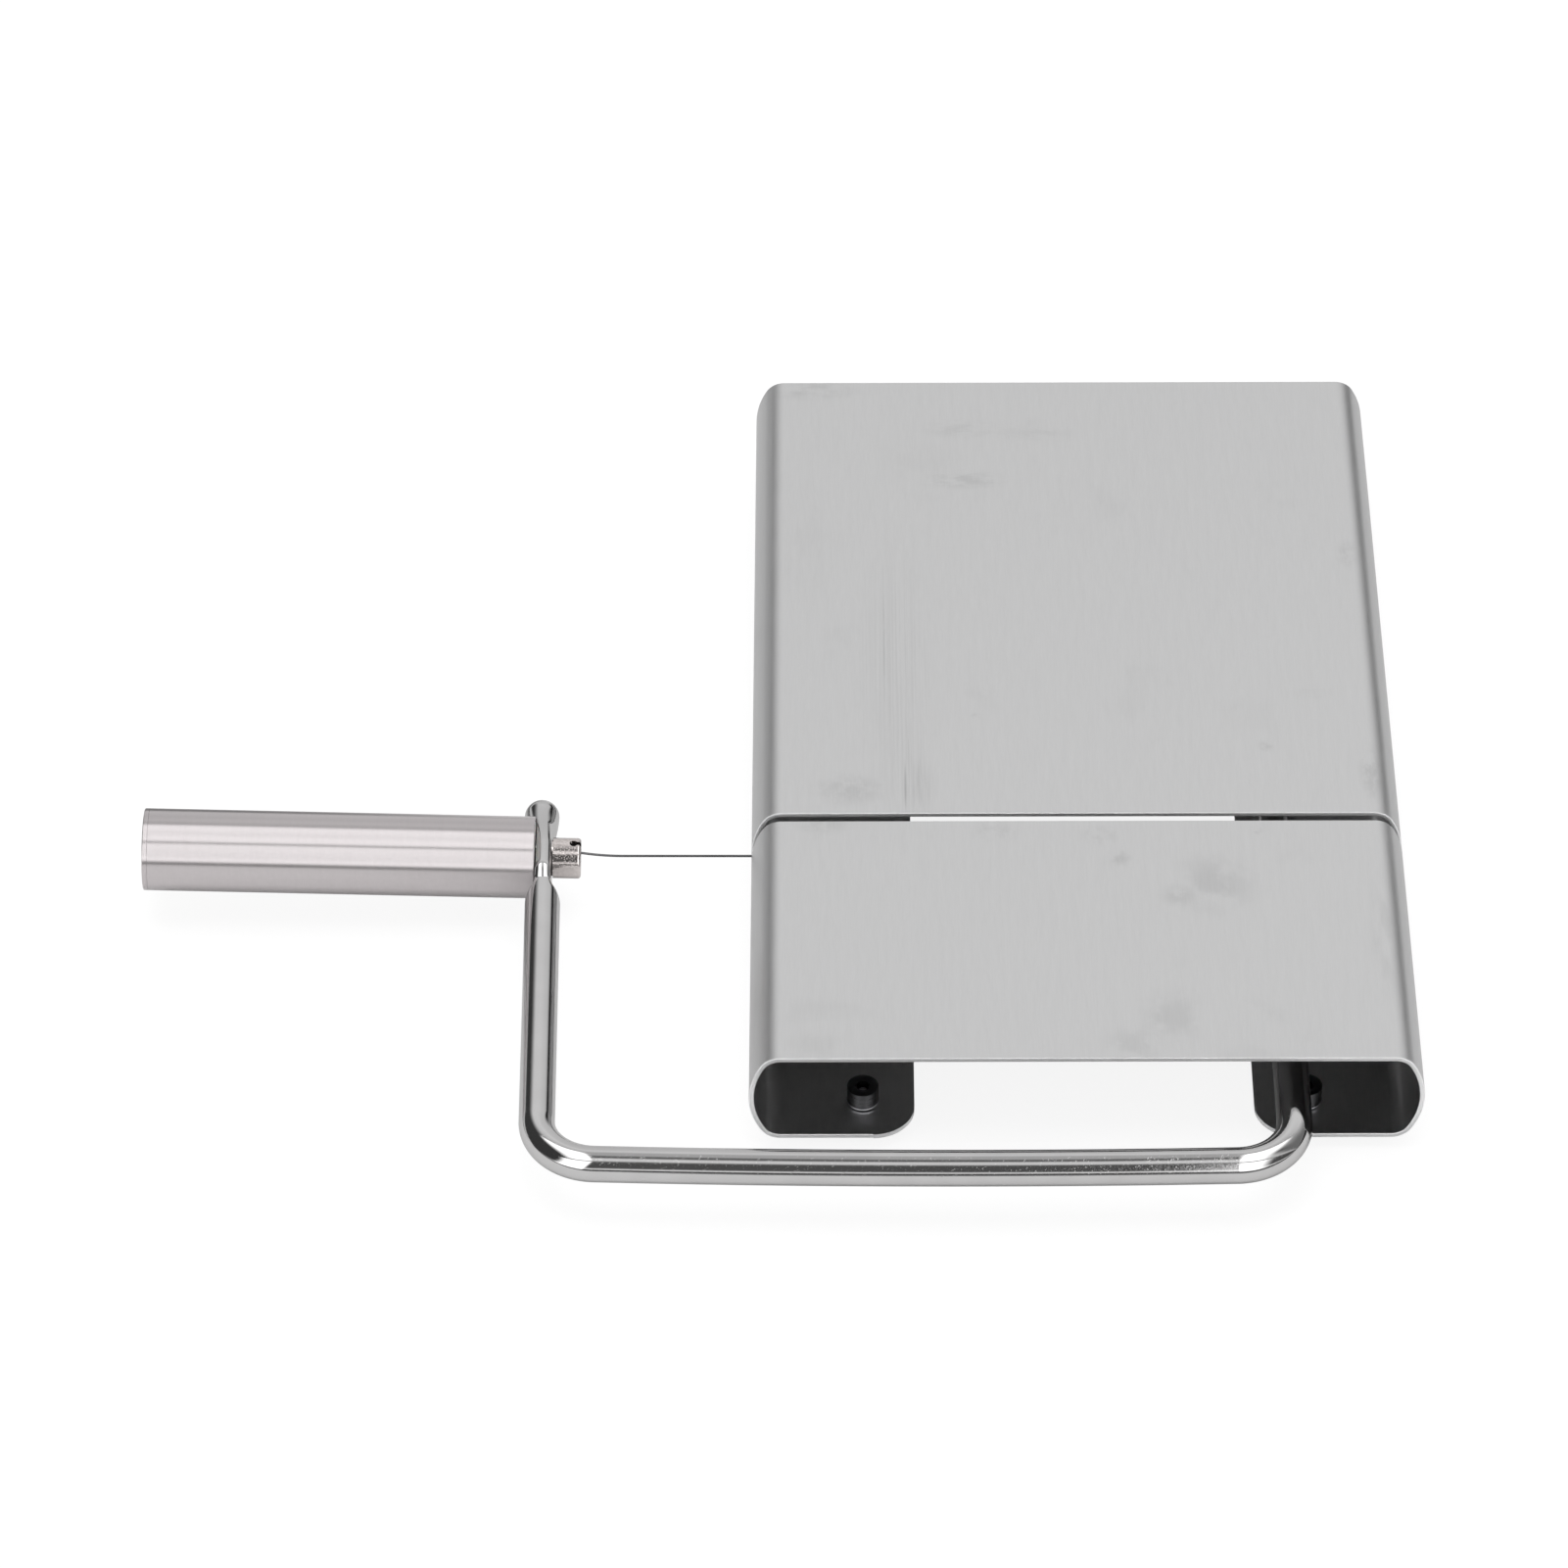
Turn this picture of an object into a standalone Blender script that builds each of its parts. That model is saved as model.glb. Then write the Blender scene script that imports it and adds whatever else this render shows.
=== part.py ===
"""Wire cheese cutter: a bent steel board with a wire bow hinged under its right side.

Metres, +Z up. The board lies along X (width) and Y (depth), its front edge faces -Y, and the bow
is down in its slot. The origin is on the surface it stands on, under the middle of its outline.
"""

import math

import bmesh
import bpy
from mathutils import Matrix, Vector

# Board: one sheet bent to a C section, open below between two flanges
BOARD_WIDTH = 0.1300
BOARD_DEPTH = 0.2100
BOARD_HEIGHT = 0.0212
SHEET = 0.0010
EDGE_RADIUS = 0.0044
EDGE_TURN = math.radians(60)
FLANGE_REACH = 0.0320
FLANGE_CORNER_RADIUS = 0.0080
EDGE_STEPS = 6
SIDE_STEPS = 14
CORNER_STEPS = 8

# Slot for the wire, across the top and down both sides to just below mid-height
SLOT_FROM_FRONT = 0.0696
SLOT_WIDTH = 0.0023
SLOT_BELOW_MIDDLE = 0.0007
SLOT_END_STEPS = 8

# Bow: one round rod, its front run sprung into a shallow curve
ROD_RADIUS = 0.0035
BEND_RADIUS = 0.0117
PIVOT_FROM_RIGHT = 0.0254
FRONT_RUN_AHEAD = 0.0191
RUN_RADIUS = 2.0300
RUN_LEAD = math.radians(1.4)
NECK_FROM_LEFT = 0.0416
ARM_SPLAY = math.radians(0.75)
SHAFT_END_CHAMFER = 0.0006
ROD_SIDES = 24
BEND_STEPS = 14
RUN_STEPS = 8

# Pinched neck and domed tip of the bow
NECK_THICKNESS = 0.0032
NECK_FRONT = 0.0094
NECK_BACK = 0.0064
SHOULDER_LENGTH = 0.0044
SWELL_LENGTH = 0.00575
NECK_RISE = 0.0012
RISE_LENGTH = 0.0036
TIP_SHIFT = 0.0005
SHOULDER_STEPS = 6
RISE_STEPS = 4
NECK_STEPS = 3
SWELL_STEPS = 6
DOME_STEPS = 6
HANDLE_SEAT_DEPTH = 0.00015

# Hinge: two ears under the board, a bush in each, and a clip beside each bush
HINGE_SPACING = 0.0600
BRACKET_SHEET = 0.0015
BRACKET_WIDTH = 0.0160
BRACKET_DROP = 0.0070
BRACKET_TAB = 0.0110
BRACKET_BEND_RADIUS = 0.0012
BRACKET_CORNER_RADIUS = 0.0065
BUSH_WALL = 0.0011
BUSH_FLANGE_WIDTH = 0.0012
BUSH_FLANGE_THICKNESS = 0.0008
BUSH_PROUD = 0.0006
SHAFT_BEYOND_CLIP = 0.0030
CLIP_THICKNESS = 0.0008
CLIP_RADIUS = 0.0058
CLIP_RIM = 0.0013
CLIP_GROOVE_DEPTH = 0.0006
CLIP_MOUTH_TURN = math.radians(50)
CLIP_PRONG_TURN = math.radians(22)
CLIP_STEPS = 6

# Tension bolt
TENSION_TILT = math.radians(1.8)
BOLT_HEAD_RADIUS = 0.00405
BOLT_HEAD_LENGTH = 0.0056
BOLT_HEAD_CHAMFER = 0.0004
BOLT_SHANK_RADIUS = 0.0019
BOLT_SHANK_LENGTH = 0.0240
POCKET_RADIUS = 0.00095
POCKET_FROM_FACE = 0.0015
WIRE_SLIT = 0.0009

# Handle
HANDLE_RADIUS = 0.0082
HANDLE_LENGTH = 0.0780
HANDLE_WALL = 0.0008
HANDLE_EDGE_CHAMFER = 0.0002
END_CAP_THICKNESS = 0.0010
END_CAP_SPIGOT = 0.0040
END_CAP_SPIGOT_WALL = 0.0012
INSERT_LENGTH = 0.0150
HANDLE_SIDES = 48

# Cutting wire and its ends
WIRE_RADIUS = 0.00025
WIRE_RISE = 0.0015
WIRE_SETTLE = 0.0085
WIRE_REST_RISE = 0.0004
WIRE_HOLE_RADIUS = 0.0005
BARREL_RADIUS = 0.0007
BARREL_HEIGHT = 0.0024
SLEEVE_RADIUS = 0.0011
SLEEVE_LENGTH = 0.0030
KINK_STEPS = 6

# Feet: rubber foot, screw from below, threaded nut in the flange
FOOT_FROM_SIDE = 0.0220
FOOT_FROM_END = 0.0095
FOOT_HEIGHT = 0.0030
FOOT_RADIUS = 0.0050
FOOT_TAPER = 0.0004
FOOT_ROUND = 0.0004
NUT_RADIUS = 0.00305
NUT_HEIGHT = 0.0037
NUT_CHAMFER = 0.0002
NUT_SPIGOT_RADIUS = 0.0023
NUT_BORE_RADIUS = 0.00125
SCREW_SHANK_RADIUS = 0.0011
SCREW_HEAD_RADIUS = 0.0024
SCREW_HEAD_HEIGHT = 0.0009
SCREW_RECESS = 0.0004
SCREW_SHORT_OF_TOP = 0.0012
SMALL_SIDES = 24

# Clearances
SEAT_GAP = 0.0003
RUNNING_GAP = 0.0001
HOLE_GAP = 0.0002
WIRE_GAP = 0.00007
OVERRUN = 0.0020
MERGE = 0.000001

# Places that follow from the sizes above, with X from the board's middle and Y from its front
TURN = 2 * math.pi
BOARD_BOTTOM = FOOT_HEIGHT
BOARD_TOP = BOARD_BOTTOM + BOARD_HEIGHT
PIVOT = Vector((BOARD_WIDTH / 2 - PIVOT_FROM_RIGHT, SLOT_FROM_FRONT, BOARD_BOTTOM + BOARD_HEIGHT / 2))
NECK = Vector((-BOARD_WIDTH / 2 - NECK_FROM_LEFT, SLOT_FROM_FRONT, PIVOT.z))
HEAD_START = NECK_THICKNESS / 2 + SEAT_GAP
HANDLE_SEAT = NECK_THICKNESS / 2 - HANDLE_SEAT_DEPTH
HEAD_END = HEAD_START + BOLT_HEAD_LENGTH
POCKET_X = HEAD_END - POCKET_FROM_FACE
GROOVE_RADIUS = ROD_RADIUS - CLIP_GROOVE_DEPTH


def clear_scene():
    for old in list(bpy.data.objects):
        bpy.data.objects.remove(old, do_unlink=True)


def material(name, colour, roughness, metallic):
    """A plain finish: colour, roughness and how metallic it is."""
    made = bpy.data.materials.new(name)
    made.use_nodes = True
    shader = made.node_tree.nodes["Principled BSDF"]
    shader.inputs["Base Color"].default_value = (*colour, 1.0)
    shader.inputs["Roughness"].default_value = roughness
    shader.inputs["Metallic"].default_value = metallic
    return made


def empty(name, parent=None, matrix=None):
    """A reference point that carries pieces. It isn't a piece itself."""
    made = bpy.data.objects.new(name, None)
    bpy.context.scene.collection.objects.link(made)
    made.parent = parent
    made.matrix_local = matrix or Matrix.Identity(4)
    return made


def piece(name, bm, finish, parent, matrix=None):
    """An object from a bmesh, with round faces shaded smooth and sharp edges kept."""
    bmesh.ops.recalc_face_normals(bm, faces=bm.faces)
    if bm.calc_volume(signed=True) < 0:
        bmesh.ops.reverse_faces(bm, faces=bm.faces)
    mesh = bpy.data.meshes.new(name)
    bm.to_mesh(mesh)
    bm.free()
    mesh.shade_smooth()
    mesh.set_sharp_from_angle(angle=math.radians(32))
    made = bpy.data.objects.new(name, mesh)
    bpy.context.scene.collection.objects.link(made)
    if finish:
        mesh.materials.append(finish)
    made.parent = parent
    made.matrix_local = matrix or Matrix.Identity(4)
    return made


def cut(target, cutter):
    """Takes the cutter's shape out of the target and keeps the cutter as a hidden guide."""
    cutter.hide_render = True
    cutter.display_type = "WIRE"
    modifier = target.modifiers.new(cutter.name, "BOOLEAN")
    modifier.operation = "DIFFERENCE"
    modifier.solver = "EXACT"
    modifier.object = cutter


def turned(profile, sides):
    """A body turned about Z from (radius, height) points that close on themselves or on the axis."""
    bm = bmesh.new()
    points = [bm.verts.new((radius, 0, height)) for radius, height in profile]
    edges = [bm.edges.new(pair) for pair in zip(points, points[1:])]
    if profile[0][0] > 0:
        edges.append(bm.edges.new((points[-1], points[0])))
    bmesh.ops.spin(bm, geom=points + edges, axis=(0, 0, 1), cent=(0, 0, 0), steps=sides, angle=TURN,
                   use_merge=True)
    bmesh.ops.remove_doubles(bm, verts=bm.verts, dist=MERGE)
    return bm


def prism(outline, depth):
    """A flat outline of (x, y) points, extruded by depth along Z."""
    bm = bmesh.new()
    face = bm.faces.new([bm.verts.new((x, y, 0)) for x, y in outline])
    raised = bmesh.ops.extrude_face_region(bm, geom=[face])["geom"]
    corners = [item for item in raised if isinstance(item, bmesh.types.BMVert)]
    bmesh.ops.translate(bm, verts=corners, vec=(0, 0, depth))
    return bm


def arc(centre, radius, start, end, steps):
    """Points along an arc, both ends included, with angles in radians."""
    angles = [start + (end - start) * step / steps for step in range(steps + 1)]
    return [(centre[0] + radius * math.cos(a), centre[1] + radius * math.sin(a)) for a in angles]


def along(axis):
    """A turn that lays a body made along Z onto the X or Y axis."""
    if axis == "X":
        return Matrix.Rotation(TURN / 4, 4, "Y")
    return Matrix.Rotation(-TURN / 4, 4, "X")


def rod_cutter(name, radius, length, sides, parent, matrix):
    """A round cutter, centred on its own origin."""
    ends = [(0, -length / 2), (radius, -length / 2), (radius, length / 2), (0, length / 2)]
    return piece(name, turned(ends, sides), None, parent, matrix)


def side_outline(inset):
    """One side of the board's section, from under the flange to the top, at this depth in the sheet."""
    middle = BOARD_HEIGHT / 2
    side_radius = (middle - EDGE_RADIUS * (1 - math.cos(EDGE_TURN))) / math.cos(EDGE_TURN)
    bulge = EDGE_RADIUS * math.sin(EDGE_TURN) + side_radius * (1 - math.sin(EDGE_TURN))
    flat_end = BOARD_WIDTH / 2 - bulge
    quarter = TURN / 4
    low = arc((flat_end, EDGE_RADIUS), EDGE_RADIUS - inset, -quarter, EDGE_TURN - quarter, EDGE_STEPS)
    side = arc((BOARD_WIDTH / 2 - side_radius, middle), side_radius - inset,
               EDGE_TURN - quarter, quarter - EDGE_TURN, SIDE_STEPS)
    high = arc((flat_end, BOARD_HEIGHT - EDGE_RADIUS), EDGE_RADIUS - inset,
               quarter - EDGE_TURN, quarter, EDGE_STEPS)
    return low + side[1:-1] + high


def board_section():
    """The bent sheet's closed section, as (x, z) from the middle of its underside."""
    flange_edge = BOARD_WIDTH / 2 - FLANGE_REACH
    outer = side_outline(0)
    inner = side_outline(SHEET)
    right = [(flange_edge, 0)] + outer
    back = [(flange_edge, SHEET)] + inner
    outer_loop = right + [(-x, z) for x, z in reversed(right)]
    inner_loop = back + [(-x, z) for x, z in reversed(back)]
    return outer_loop + inner_loop[::-1]


def flange_corner_cutter(name, parent, side, end):
    """What a rounded flange corner leaves out: a square with a quarter disc taken off."""
    radius = FLANGE_CORNER_RADIUS
    quarter = TURN / 4
    curve = arc((0, 0), radius, 0, quarter, CORNER_STEPS)
    outline = curve + [(0, radius + OVERRUN), (radius + OVERRUN, radius + OVERRUN), (radius + OVERRUN, 0)]
    bm = prism(outline, SHEET + 2 * OVERRUN)
    flange_edge = BOARD_WIDTH / 2 - FLANGE_REACH
    turn = Matrix.Diagonal((-side, 1 if end else -1, 1, 1))
    corner = (side * (flange_edge + radius), BOARD_DEPTH - radius if end else radius, BOARD_BOTTOM - OVERRUN)
    bm.transform(turn)
    return piece(name, bm, None, parent, Matrix.Translation(corner))


def foot_places():
    """Name and place of each foot, on the underside of the flanges."""
    places = {}
    for along_name, y in (("front", FOOT_FROM_END), ("rear", BOARD_DEPTH - FOOT_FROM_END)):
        for side_name, side in (("left", -1), ("right", 1)):
            x = side * (BOARD_WIDTH / 2 - FOOT_FROM_SIDE)
            places[f"{along_name}_{side_name}"] = Vector((x, y, BOARD_BOTTOM))
    return places


def base_plate(root, steel):
    bm = prism(board_section(), BOARD_DEPTH)
    bm.transform(Matrix.Rotation(TURN / 4, 4, "X"))
    plate = piece("base_plate", bm, steel, root, Matrix.Translation((0, BOARD_DEPTH, BOARD_BOTTOM)))
    slot_low = PIVOT.z - SLOT_BELOW_MIDDLE
    end_radius = SLOT_WIDTH / 2
    height = BOARD_TOP + OVERRUN - slot_low
    outline = arc((0, end_radius), end_radius, TURN / 2, TURN, SLOT_END_STEPS)
    outline += [(end_radius, height), (-end_radius, height)]
    slot = prism(outline, BOARD_WIDTH + 2 * OVERRUN)
    slot.transform(Matrix(((0, 0, 1, 0), (1, 0, 0, 0), (0, 1, 0, 0), (0, 0, 0, 1))))
    start = (-BOARD_WIDTH / 2 - OVERRUN, SLOT_FROM_FRONT, slot_low)
    cut(plate, piece("slot_cutter", slot, None, root, Matrix.Translation(start)))
    for side in (-1, 1):
        for end in (0, 1):
            name = f"flange_corner_cutter_{side + 1}_{end}"
            cut(plate, flange_corner_cutter(name, root, side, end))
    for where, place in foot_places().items():
        hole = rod_cutter(f"nut_hole_cutter_{where}", NUT_SPIGOT_RADIUS + HOLE_GAP, SHEET + 2 * OVERRUN,
                          SMALL_SIDES, root, Matrix.Translation(place))
        cut(plate, hole)
    return plate


def foot(where, place, root, steel, rubber, dark_steel):
    """A foot's three pieces: the nut in the flange, the rubber under it and the screw between them."""
    nut_base = SHEET + SEAT_GAP
    nut_top = nut_base + NUT_HEIGHT
    nut = [
        (NUT_BORE_RADIUS, 0),
        (NUT_SPIGOT_RADIUS, 0),
        (NUT_SPIGOT_RADIUS, nut_base),
        (NUT_RADIUS, nut_base),
        (NUT_RADIUS, nut_top - NUT_CHAMFER),
        (NUT_RADIUS - NUT_CHAMFER, nut_top),
        (NUT_BORE_RADIUS, nut_top),
    ]
    piece(f"foot_nut_{where}", turned(nut, SMALL_SIDES), steel, root, Matrix.Translation(place))
    head_top = -FOOT_HEIGHT + SCREW_RECESS + SCREW_HEAD_HEIGHT
    floor = -FOOT_HEIGHT
    low_radius = FOOT_RADIUS - FOOT_TAPER
    bore = SCREW_SHANK_RADIUS + HOLE_GAP
    pocket = SCREW_HEAD_RADIUS + SEAT_GAP
    rubber_foot = [
        (bore, -SEAT_GAP),
        (bore, head_top + SEAT_GAP),
        (pocket, head_top + SEAT_GAP),
        (pocket, floor),
        (low_radius - FOOT_ROUND, floor),
        (low_radius, floor + FOOT_ROUND),
        (FOOT_RADIUS, -SEAT_GAP),
    ]
    piece(f"rubber_foot_{where}", turned(rubber_foot, SMALL_SIDES), rubber, root, Matrix.Translation(place))
    screw = [
        (0, nut_top - SCREW_SHORT_OF_TOP),
        (SCREW_SHANK_RADIUS, nut_top - SCREW_SHORT_OF_TOP),
        (SCREW_SHANK_RADIUS, head_top),
        (SCREW_HEAD_RADIUS, head_top),
        (SCREW_HEAD_RADIUS, head_top - SCREW_HEAD_HEIGHT),
        (0, head_top - SCREW_HEAD_HEIGHT),
    ]
    piece(f"foot_screw_{where}", turned(screw, SMALL_SIDES), dark_steel, root, Matrix.Translation(place))


def hinge_y(end):
    """Outer face of a hinge ear: end is -1 at the front and 1 at the rear."""
    return SLOT_FROM_FRONT + end * HINGE_SPACING / 2


def hinge_bracket(name, root, steel, end):
    """An ear hanging from a tab that is welded under the board. It is an L bent from one strip."""
    top = BOARD_TOP - SHEET - SEAT_GAP
    bottom = PIVOT.z - BRACKET_DROP
    inside = BRACKET_BEND_RADIUS
    outside = inside + BRACKET_SHEET
    height = top - bottom
    quarter = TURN / 4
    outer = [(0, 0)] + arc((outside, height - outside), outside, 2 * quarter, quarter, CORNER_STEPS)
    outer += [(BRACKET_TAB, height), (BRACKET_TAB, height - BRACKET_SHEET)]
    inner = arc((outside, height - outside), inside, quarter, 2 * quarter, CORNER_STEPS)
    outline = outer + inner + [(BRACKET_SHEET, 0)]
    bm = prism(outline, BRACKET_WIDTH)
    low_edges = []
    for edge in bm.edges:
        a, b = edge.verts
        if max(a.co.y, b.co.y) < MERGE and abs(a.co.z - b.co.z) < MERGE:
            low_edges.append(edge)
    bmesh.ops.bevel(bm, geom=low_edges, offset=BRACKET_CORNER_RADIUS, segments=CORNER_STEPS, profile=0.5,
                    affect="EDGES")
    bm.transform(Matrix(((0, 0, 1, 0), (-end, 0, 0, 0), (0, 1, 0, 0), (0, 0, 0, 1))))
    place = Matrix.Translation((PIVOT.x - BRACKET_WIDTH / 2, hinge_y(end), bottom))
    bracket = piece(name, bm, steel, root, place)
    radius = ROD_RADIUS + RUNNING_GAP + BUSH_WALL + RUNNING_GAP
    middle = Vector((PIVOT.x, hinge_y(end), PIVOT.z))
    hole = rod_cutter(f"{name}_cutter", radius, 2 * (BRACKET_SHEET + OVERRUN), ROD_SIDES, root,
                      Matrix.Translation(middle) @ along("Y"))
    cut(bracket, hole)


def pivot_bush(name, root, plastic, end):
    """A flanged sleeve in the ear, its flange on the ear's outer side."""
    bore = ROD_RADIUS + RUNNING_GAP
    body = bore + BUSH_WALL
    flange = body + BUSH_FLANGE_WIDTH
    outer = SEAT_GAP + BUSH_FLANGE_THICKNESS
    inner = -(BRACKET_SHEET + BUSH_PROUD)
    profile = [
        (bore, outer),
        (bore, inner),
        (body, inner),
        (body, SEAT_GAP),
        (flange, SEAT_GAP),
        (flange, outer),
    ]
    bm = turned(profile, ROD_SIDES)
    bm.transform(along("Y") if end > 0 else Matrix.Rotation(TURN / 4, 4, "X"))
    piece(name, bm, plastic, root, Matrix.Translation((PIVOT.x, hinge_y(end), PIVOT.z)))


def clip_offset(end):
    """Middle of a clip's groove along the shaft, from the wire's plane."""
    return end * (HINGE_SPACING / 2 + 2 * SEAT_GAP + BUSH_FLANGE_THICKNESS + CLIP_THICKNESS / 2)


def retaining_clip(name, bow, spring_steel, end):
    """An E-clip: a broken ring with three prongs that reach into the shaft's groove."""
    mouth = CLIP_MOUTH_TURN
    prong = CLIP_PRONG_TURN
    grip = GROOVE_RADIUS + RUNNING_GAP
    relief = CLIP_RADIUS - CLIP_RIM
    outer = arc((0, 0), CLIP_RADIUS, mouth, TURN - mouth, 6 * CLIP_STEPS)
    inner = arc((0, 0), grip, TURN - mouth, TURN - mouth - prong, CLIP_STEPS)
    inner += arc((0, 0), relief, TURN - mouth - prong, TURN / 2 + prong / 2, CLIP_STEPS)
    inner += arc((0, 0), grip, TURN / 2 + prong / 2, TURN / 2 - prong / 2, CLIP_STEPS)
    inner += arc((0, 0), relief, TURN / 2 - prong / 2, mouth + prong, CLIP_STEPS)
    inner += arc((0, 0), grip, mouth + prong, mouth, CLIP_STEPS)
    bm = prism(outer + inner, CLIP_THICKNESS)
    bmesh.ops.translate(bm, verts=bm.verts, vec=(0, 0, -CLIP_THICKNESS / 2))
    bm.transform(along("Y"))
    piece(name, bm, spring_steel, bow, Matrix.Translation((0, clip_offset(end), 0)))


def ease(share):
    return share * share * (3 - 2 * share)


def rod_stations():
    """Sections along the bow from the hinge: (x, y, heading, radius, half thickness, half height).

    Places are from the pivot in the wire's plane. Heading is the way the rod runs there.
    """
    r = ROD_RADIUS
    bend = BEND_RADIUS
    quarter = TURN / 4
    toward_front = -quarter
    stations = []

    def add(x, y, heading, radius=r, half=r, tall=None):
        stations.append((x, y, heading, radius, half, radius if tall is None else tall))

    half_groove = CLIP_THICKNESS / 2 + RUNNING_GAP
    tail = clip_offset(1) + half_groove + SHAFT_BEYOND_CLIP
    add(0, tail, toward_front, r - SHAFT_END_CHAMFER)
    add(0, tail - SHAFT_END_CHAMFER, toward_front)
    for end in (1, -1):
        groove = clip_offset(end)
        add(0, groove + half_groove, toward_front)
        add(0, groove + half_groove, toward_front, GROOVE_RADIUS)
        add(0, groove - half_groove, toward_front, GROOVE_RADIUS)
        add(0, groove - half_groove, toward_front)

    reach = RUN_RADIUS - bend
    run_start = quarter - RUN_LEAD
    arm_start = 2 * quarter - ARM_SPLAY
    neck_x = NECK.x - PIVOT.x
    run_centre = Vector((-bend - reach * math.cos(run_start),
                         RUN_RADIUS - SLOT_FROM_FRONT - FRONT_RUN_AHEAD))
    inward = Vector((math.cos(ARM_SPLAY), math.sin(ARM_SPLAY)))
    run_end = math.acos((neck_x * inward.x + bend - run_centre.dot(inward)) / reach) - ARM_SPLAY

    def add_curve(centre, radius, start, end, steps, skip):
        for step in range(skip, steps + 1):
            turn = start + (end - start) * step / steps
            add(centre.x + radius * math.cos(turn), centre.y - radius * math.sin(turn), toward_front - turn)

    def bend_centre(turn):
        return run_centre + Vector((reach * math.cos(turn), -reach * math.sin(turn)))

    add_curve(bend_centre(run_start), bend, 0, run_start, BEND_STEPS, 0)
    add_curve(run_centre, RUN_RADIUS, run_start, run_end, RUN_STEPS, 1)
    add_curve(bend_centre(run_end), bend, run_end, arm_start, BEND_STEPS, 1)

    heading = toward_front - arm_start
    ahead = Vector((math.cos(heading), math.sin(heading)))
    leftward = Vector((-ahead.y, ahead.x))
    thin = NECK_THICKNESS / 2
    swell_end = NECK_BACK + SWELL_LENGTH

    def add_on_arm(distance, radius=r, half=r, tall=None):
        share = max(0, min(1, distance / swell_end))
        if tall is None:
            tall = radius
            if distance > -NECK_FRONT:
                rise = min(1, (distance + NECK_FRONT) / RISE_LENGTH)
                tall += NECK_RISE * math.sin(quarter * rise) * (1 - ease(share))
        place = ahead * distance + leftward * (TIP_SHIFT * ease(share))
        add(neck_x + place.x, place.y, heading, radius, half, tall)

    for step in range(SHOULDER_STEPS + 1):
        share = step / SHOULDER_STEPS
        add_on_arm(-NECK_FRONT - SHOULDER_LENGTH * (1 - share), r, r + (thin - r) * ease(share))
    for step in range(1, RISE_STEPS + 1):
        add_on_arm(-NECK_FRONT + RISE_LENGTH * step / RISE_STEPS, r, thin)
    for step in range(NECK_STEPS):
        add_on_arm(NECK_BACK * step / NECK_STEPS, r, thin)
    full_turn = math.acos(thin / r)
    for step in range(SWELL_STEPS + 1):
        turn = full_turn * (1 - step / SWELL_STEPS)
        back = SWELL_LENGTH * math.sin(turn) / math.sin(full_turn)
        add_on_arm(swell_end - back, r, r * math.cos(turn))
    for step in range(1, DOME_STEPS):
        turn = quarter * step / DOME_STEPS
        add_on_arm(swell_end + r * math.sin(turn), r * math.cos(turn), r, r * math.cos(turn))
    add_on_arm(swell_end + r, 0, r, 0)
    return stations


def bow_rod(bow, polished):
    """The rod is lofted through its sections: a circle, but flattened and made taller at the neck."""
    bm = bmesh.new()
    rings = []
    for x, y, heading, radius, half, tall in rod_stations():
        side = Vector((-math.sin(heading), math.cos(heading), 0))
        if radius == 0:
            rings.append([bm.verts.new((x, y, 0))])
            continue
        ring = []
        for step in range(ROD_SIDES):
            angle = TURN * (step + 0.5) / ROD_SIDES
            across = max(-half, min(half, radius * math.cos(angle)))
            ring.append(bm.verts.new(Vector((x, y, tall * math.sin(angle))) + side * across))
        rings.append(ring)
    for near, far in zip(rings, rings[1:]):
        for step in range(ROD_SIDES):
            after = (step + 1) % ROD_SIDES
            if len(far) == 1:
                bm.faces.new((near[step], near[after], far[0]))
            else:
                bm.faces.new((near[step], near[after], far[after], far[step]))
    bm.faces.new(rings[0])
    rod = piece("bow_rod", bm, polished, bow)
    across_shaft = rod_cutter("wire_hole_cutter", WIRE_HOLE_RADIUS, 2 * (ROD_RADIUS + OVERRUN), SMALL_SIDES,
                              bow, along("X"))
    cut(rod, across_shaft)
    neck_place = Matrix.Translation(NECK - PIVOT) @ Matrix.Rotation(TENSION_TILT, 4, "Y")
    across_neck = rod_cutter("bolt_hole_cutter", BOLT_SHANK_RADIUS + HOLE_GAP, NECK_THICKNESS + 2 * OVERRUN,
                             SMALL_SIDES, bow, neck_place @ along("X"))
    cut(rod, across_neck)
    seat_depth = ROD_RADIUS + OVERRUN
    seat_place = neck_place @ Matrix.Translation((-HANDLE_SEAT - seat_depth / 2, 0, 0)) @ along("X")
    cut(rod, rod_cutter("handle_seat_cutter", HANDLE_RADIUS + SEAT_GAP, seat_depth, HANDLE_SIDES, bow,
                        seat_place))


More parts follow.
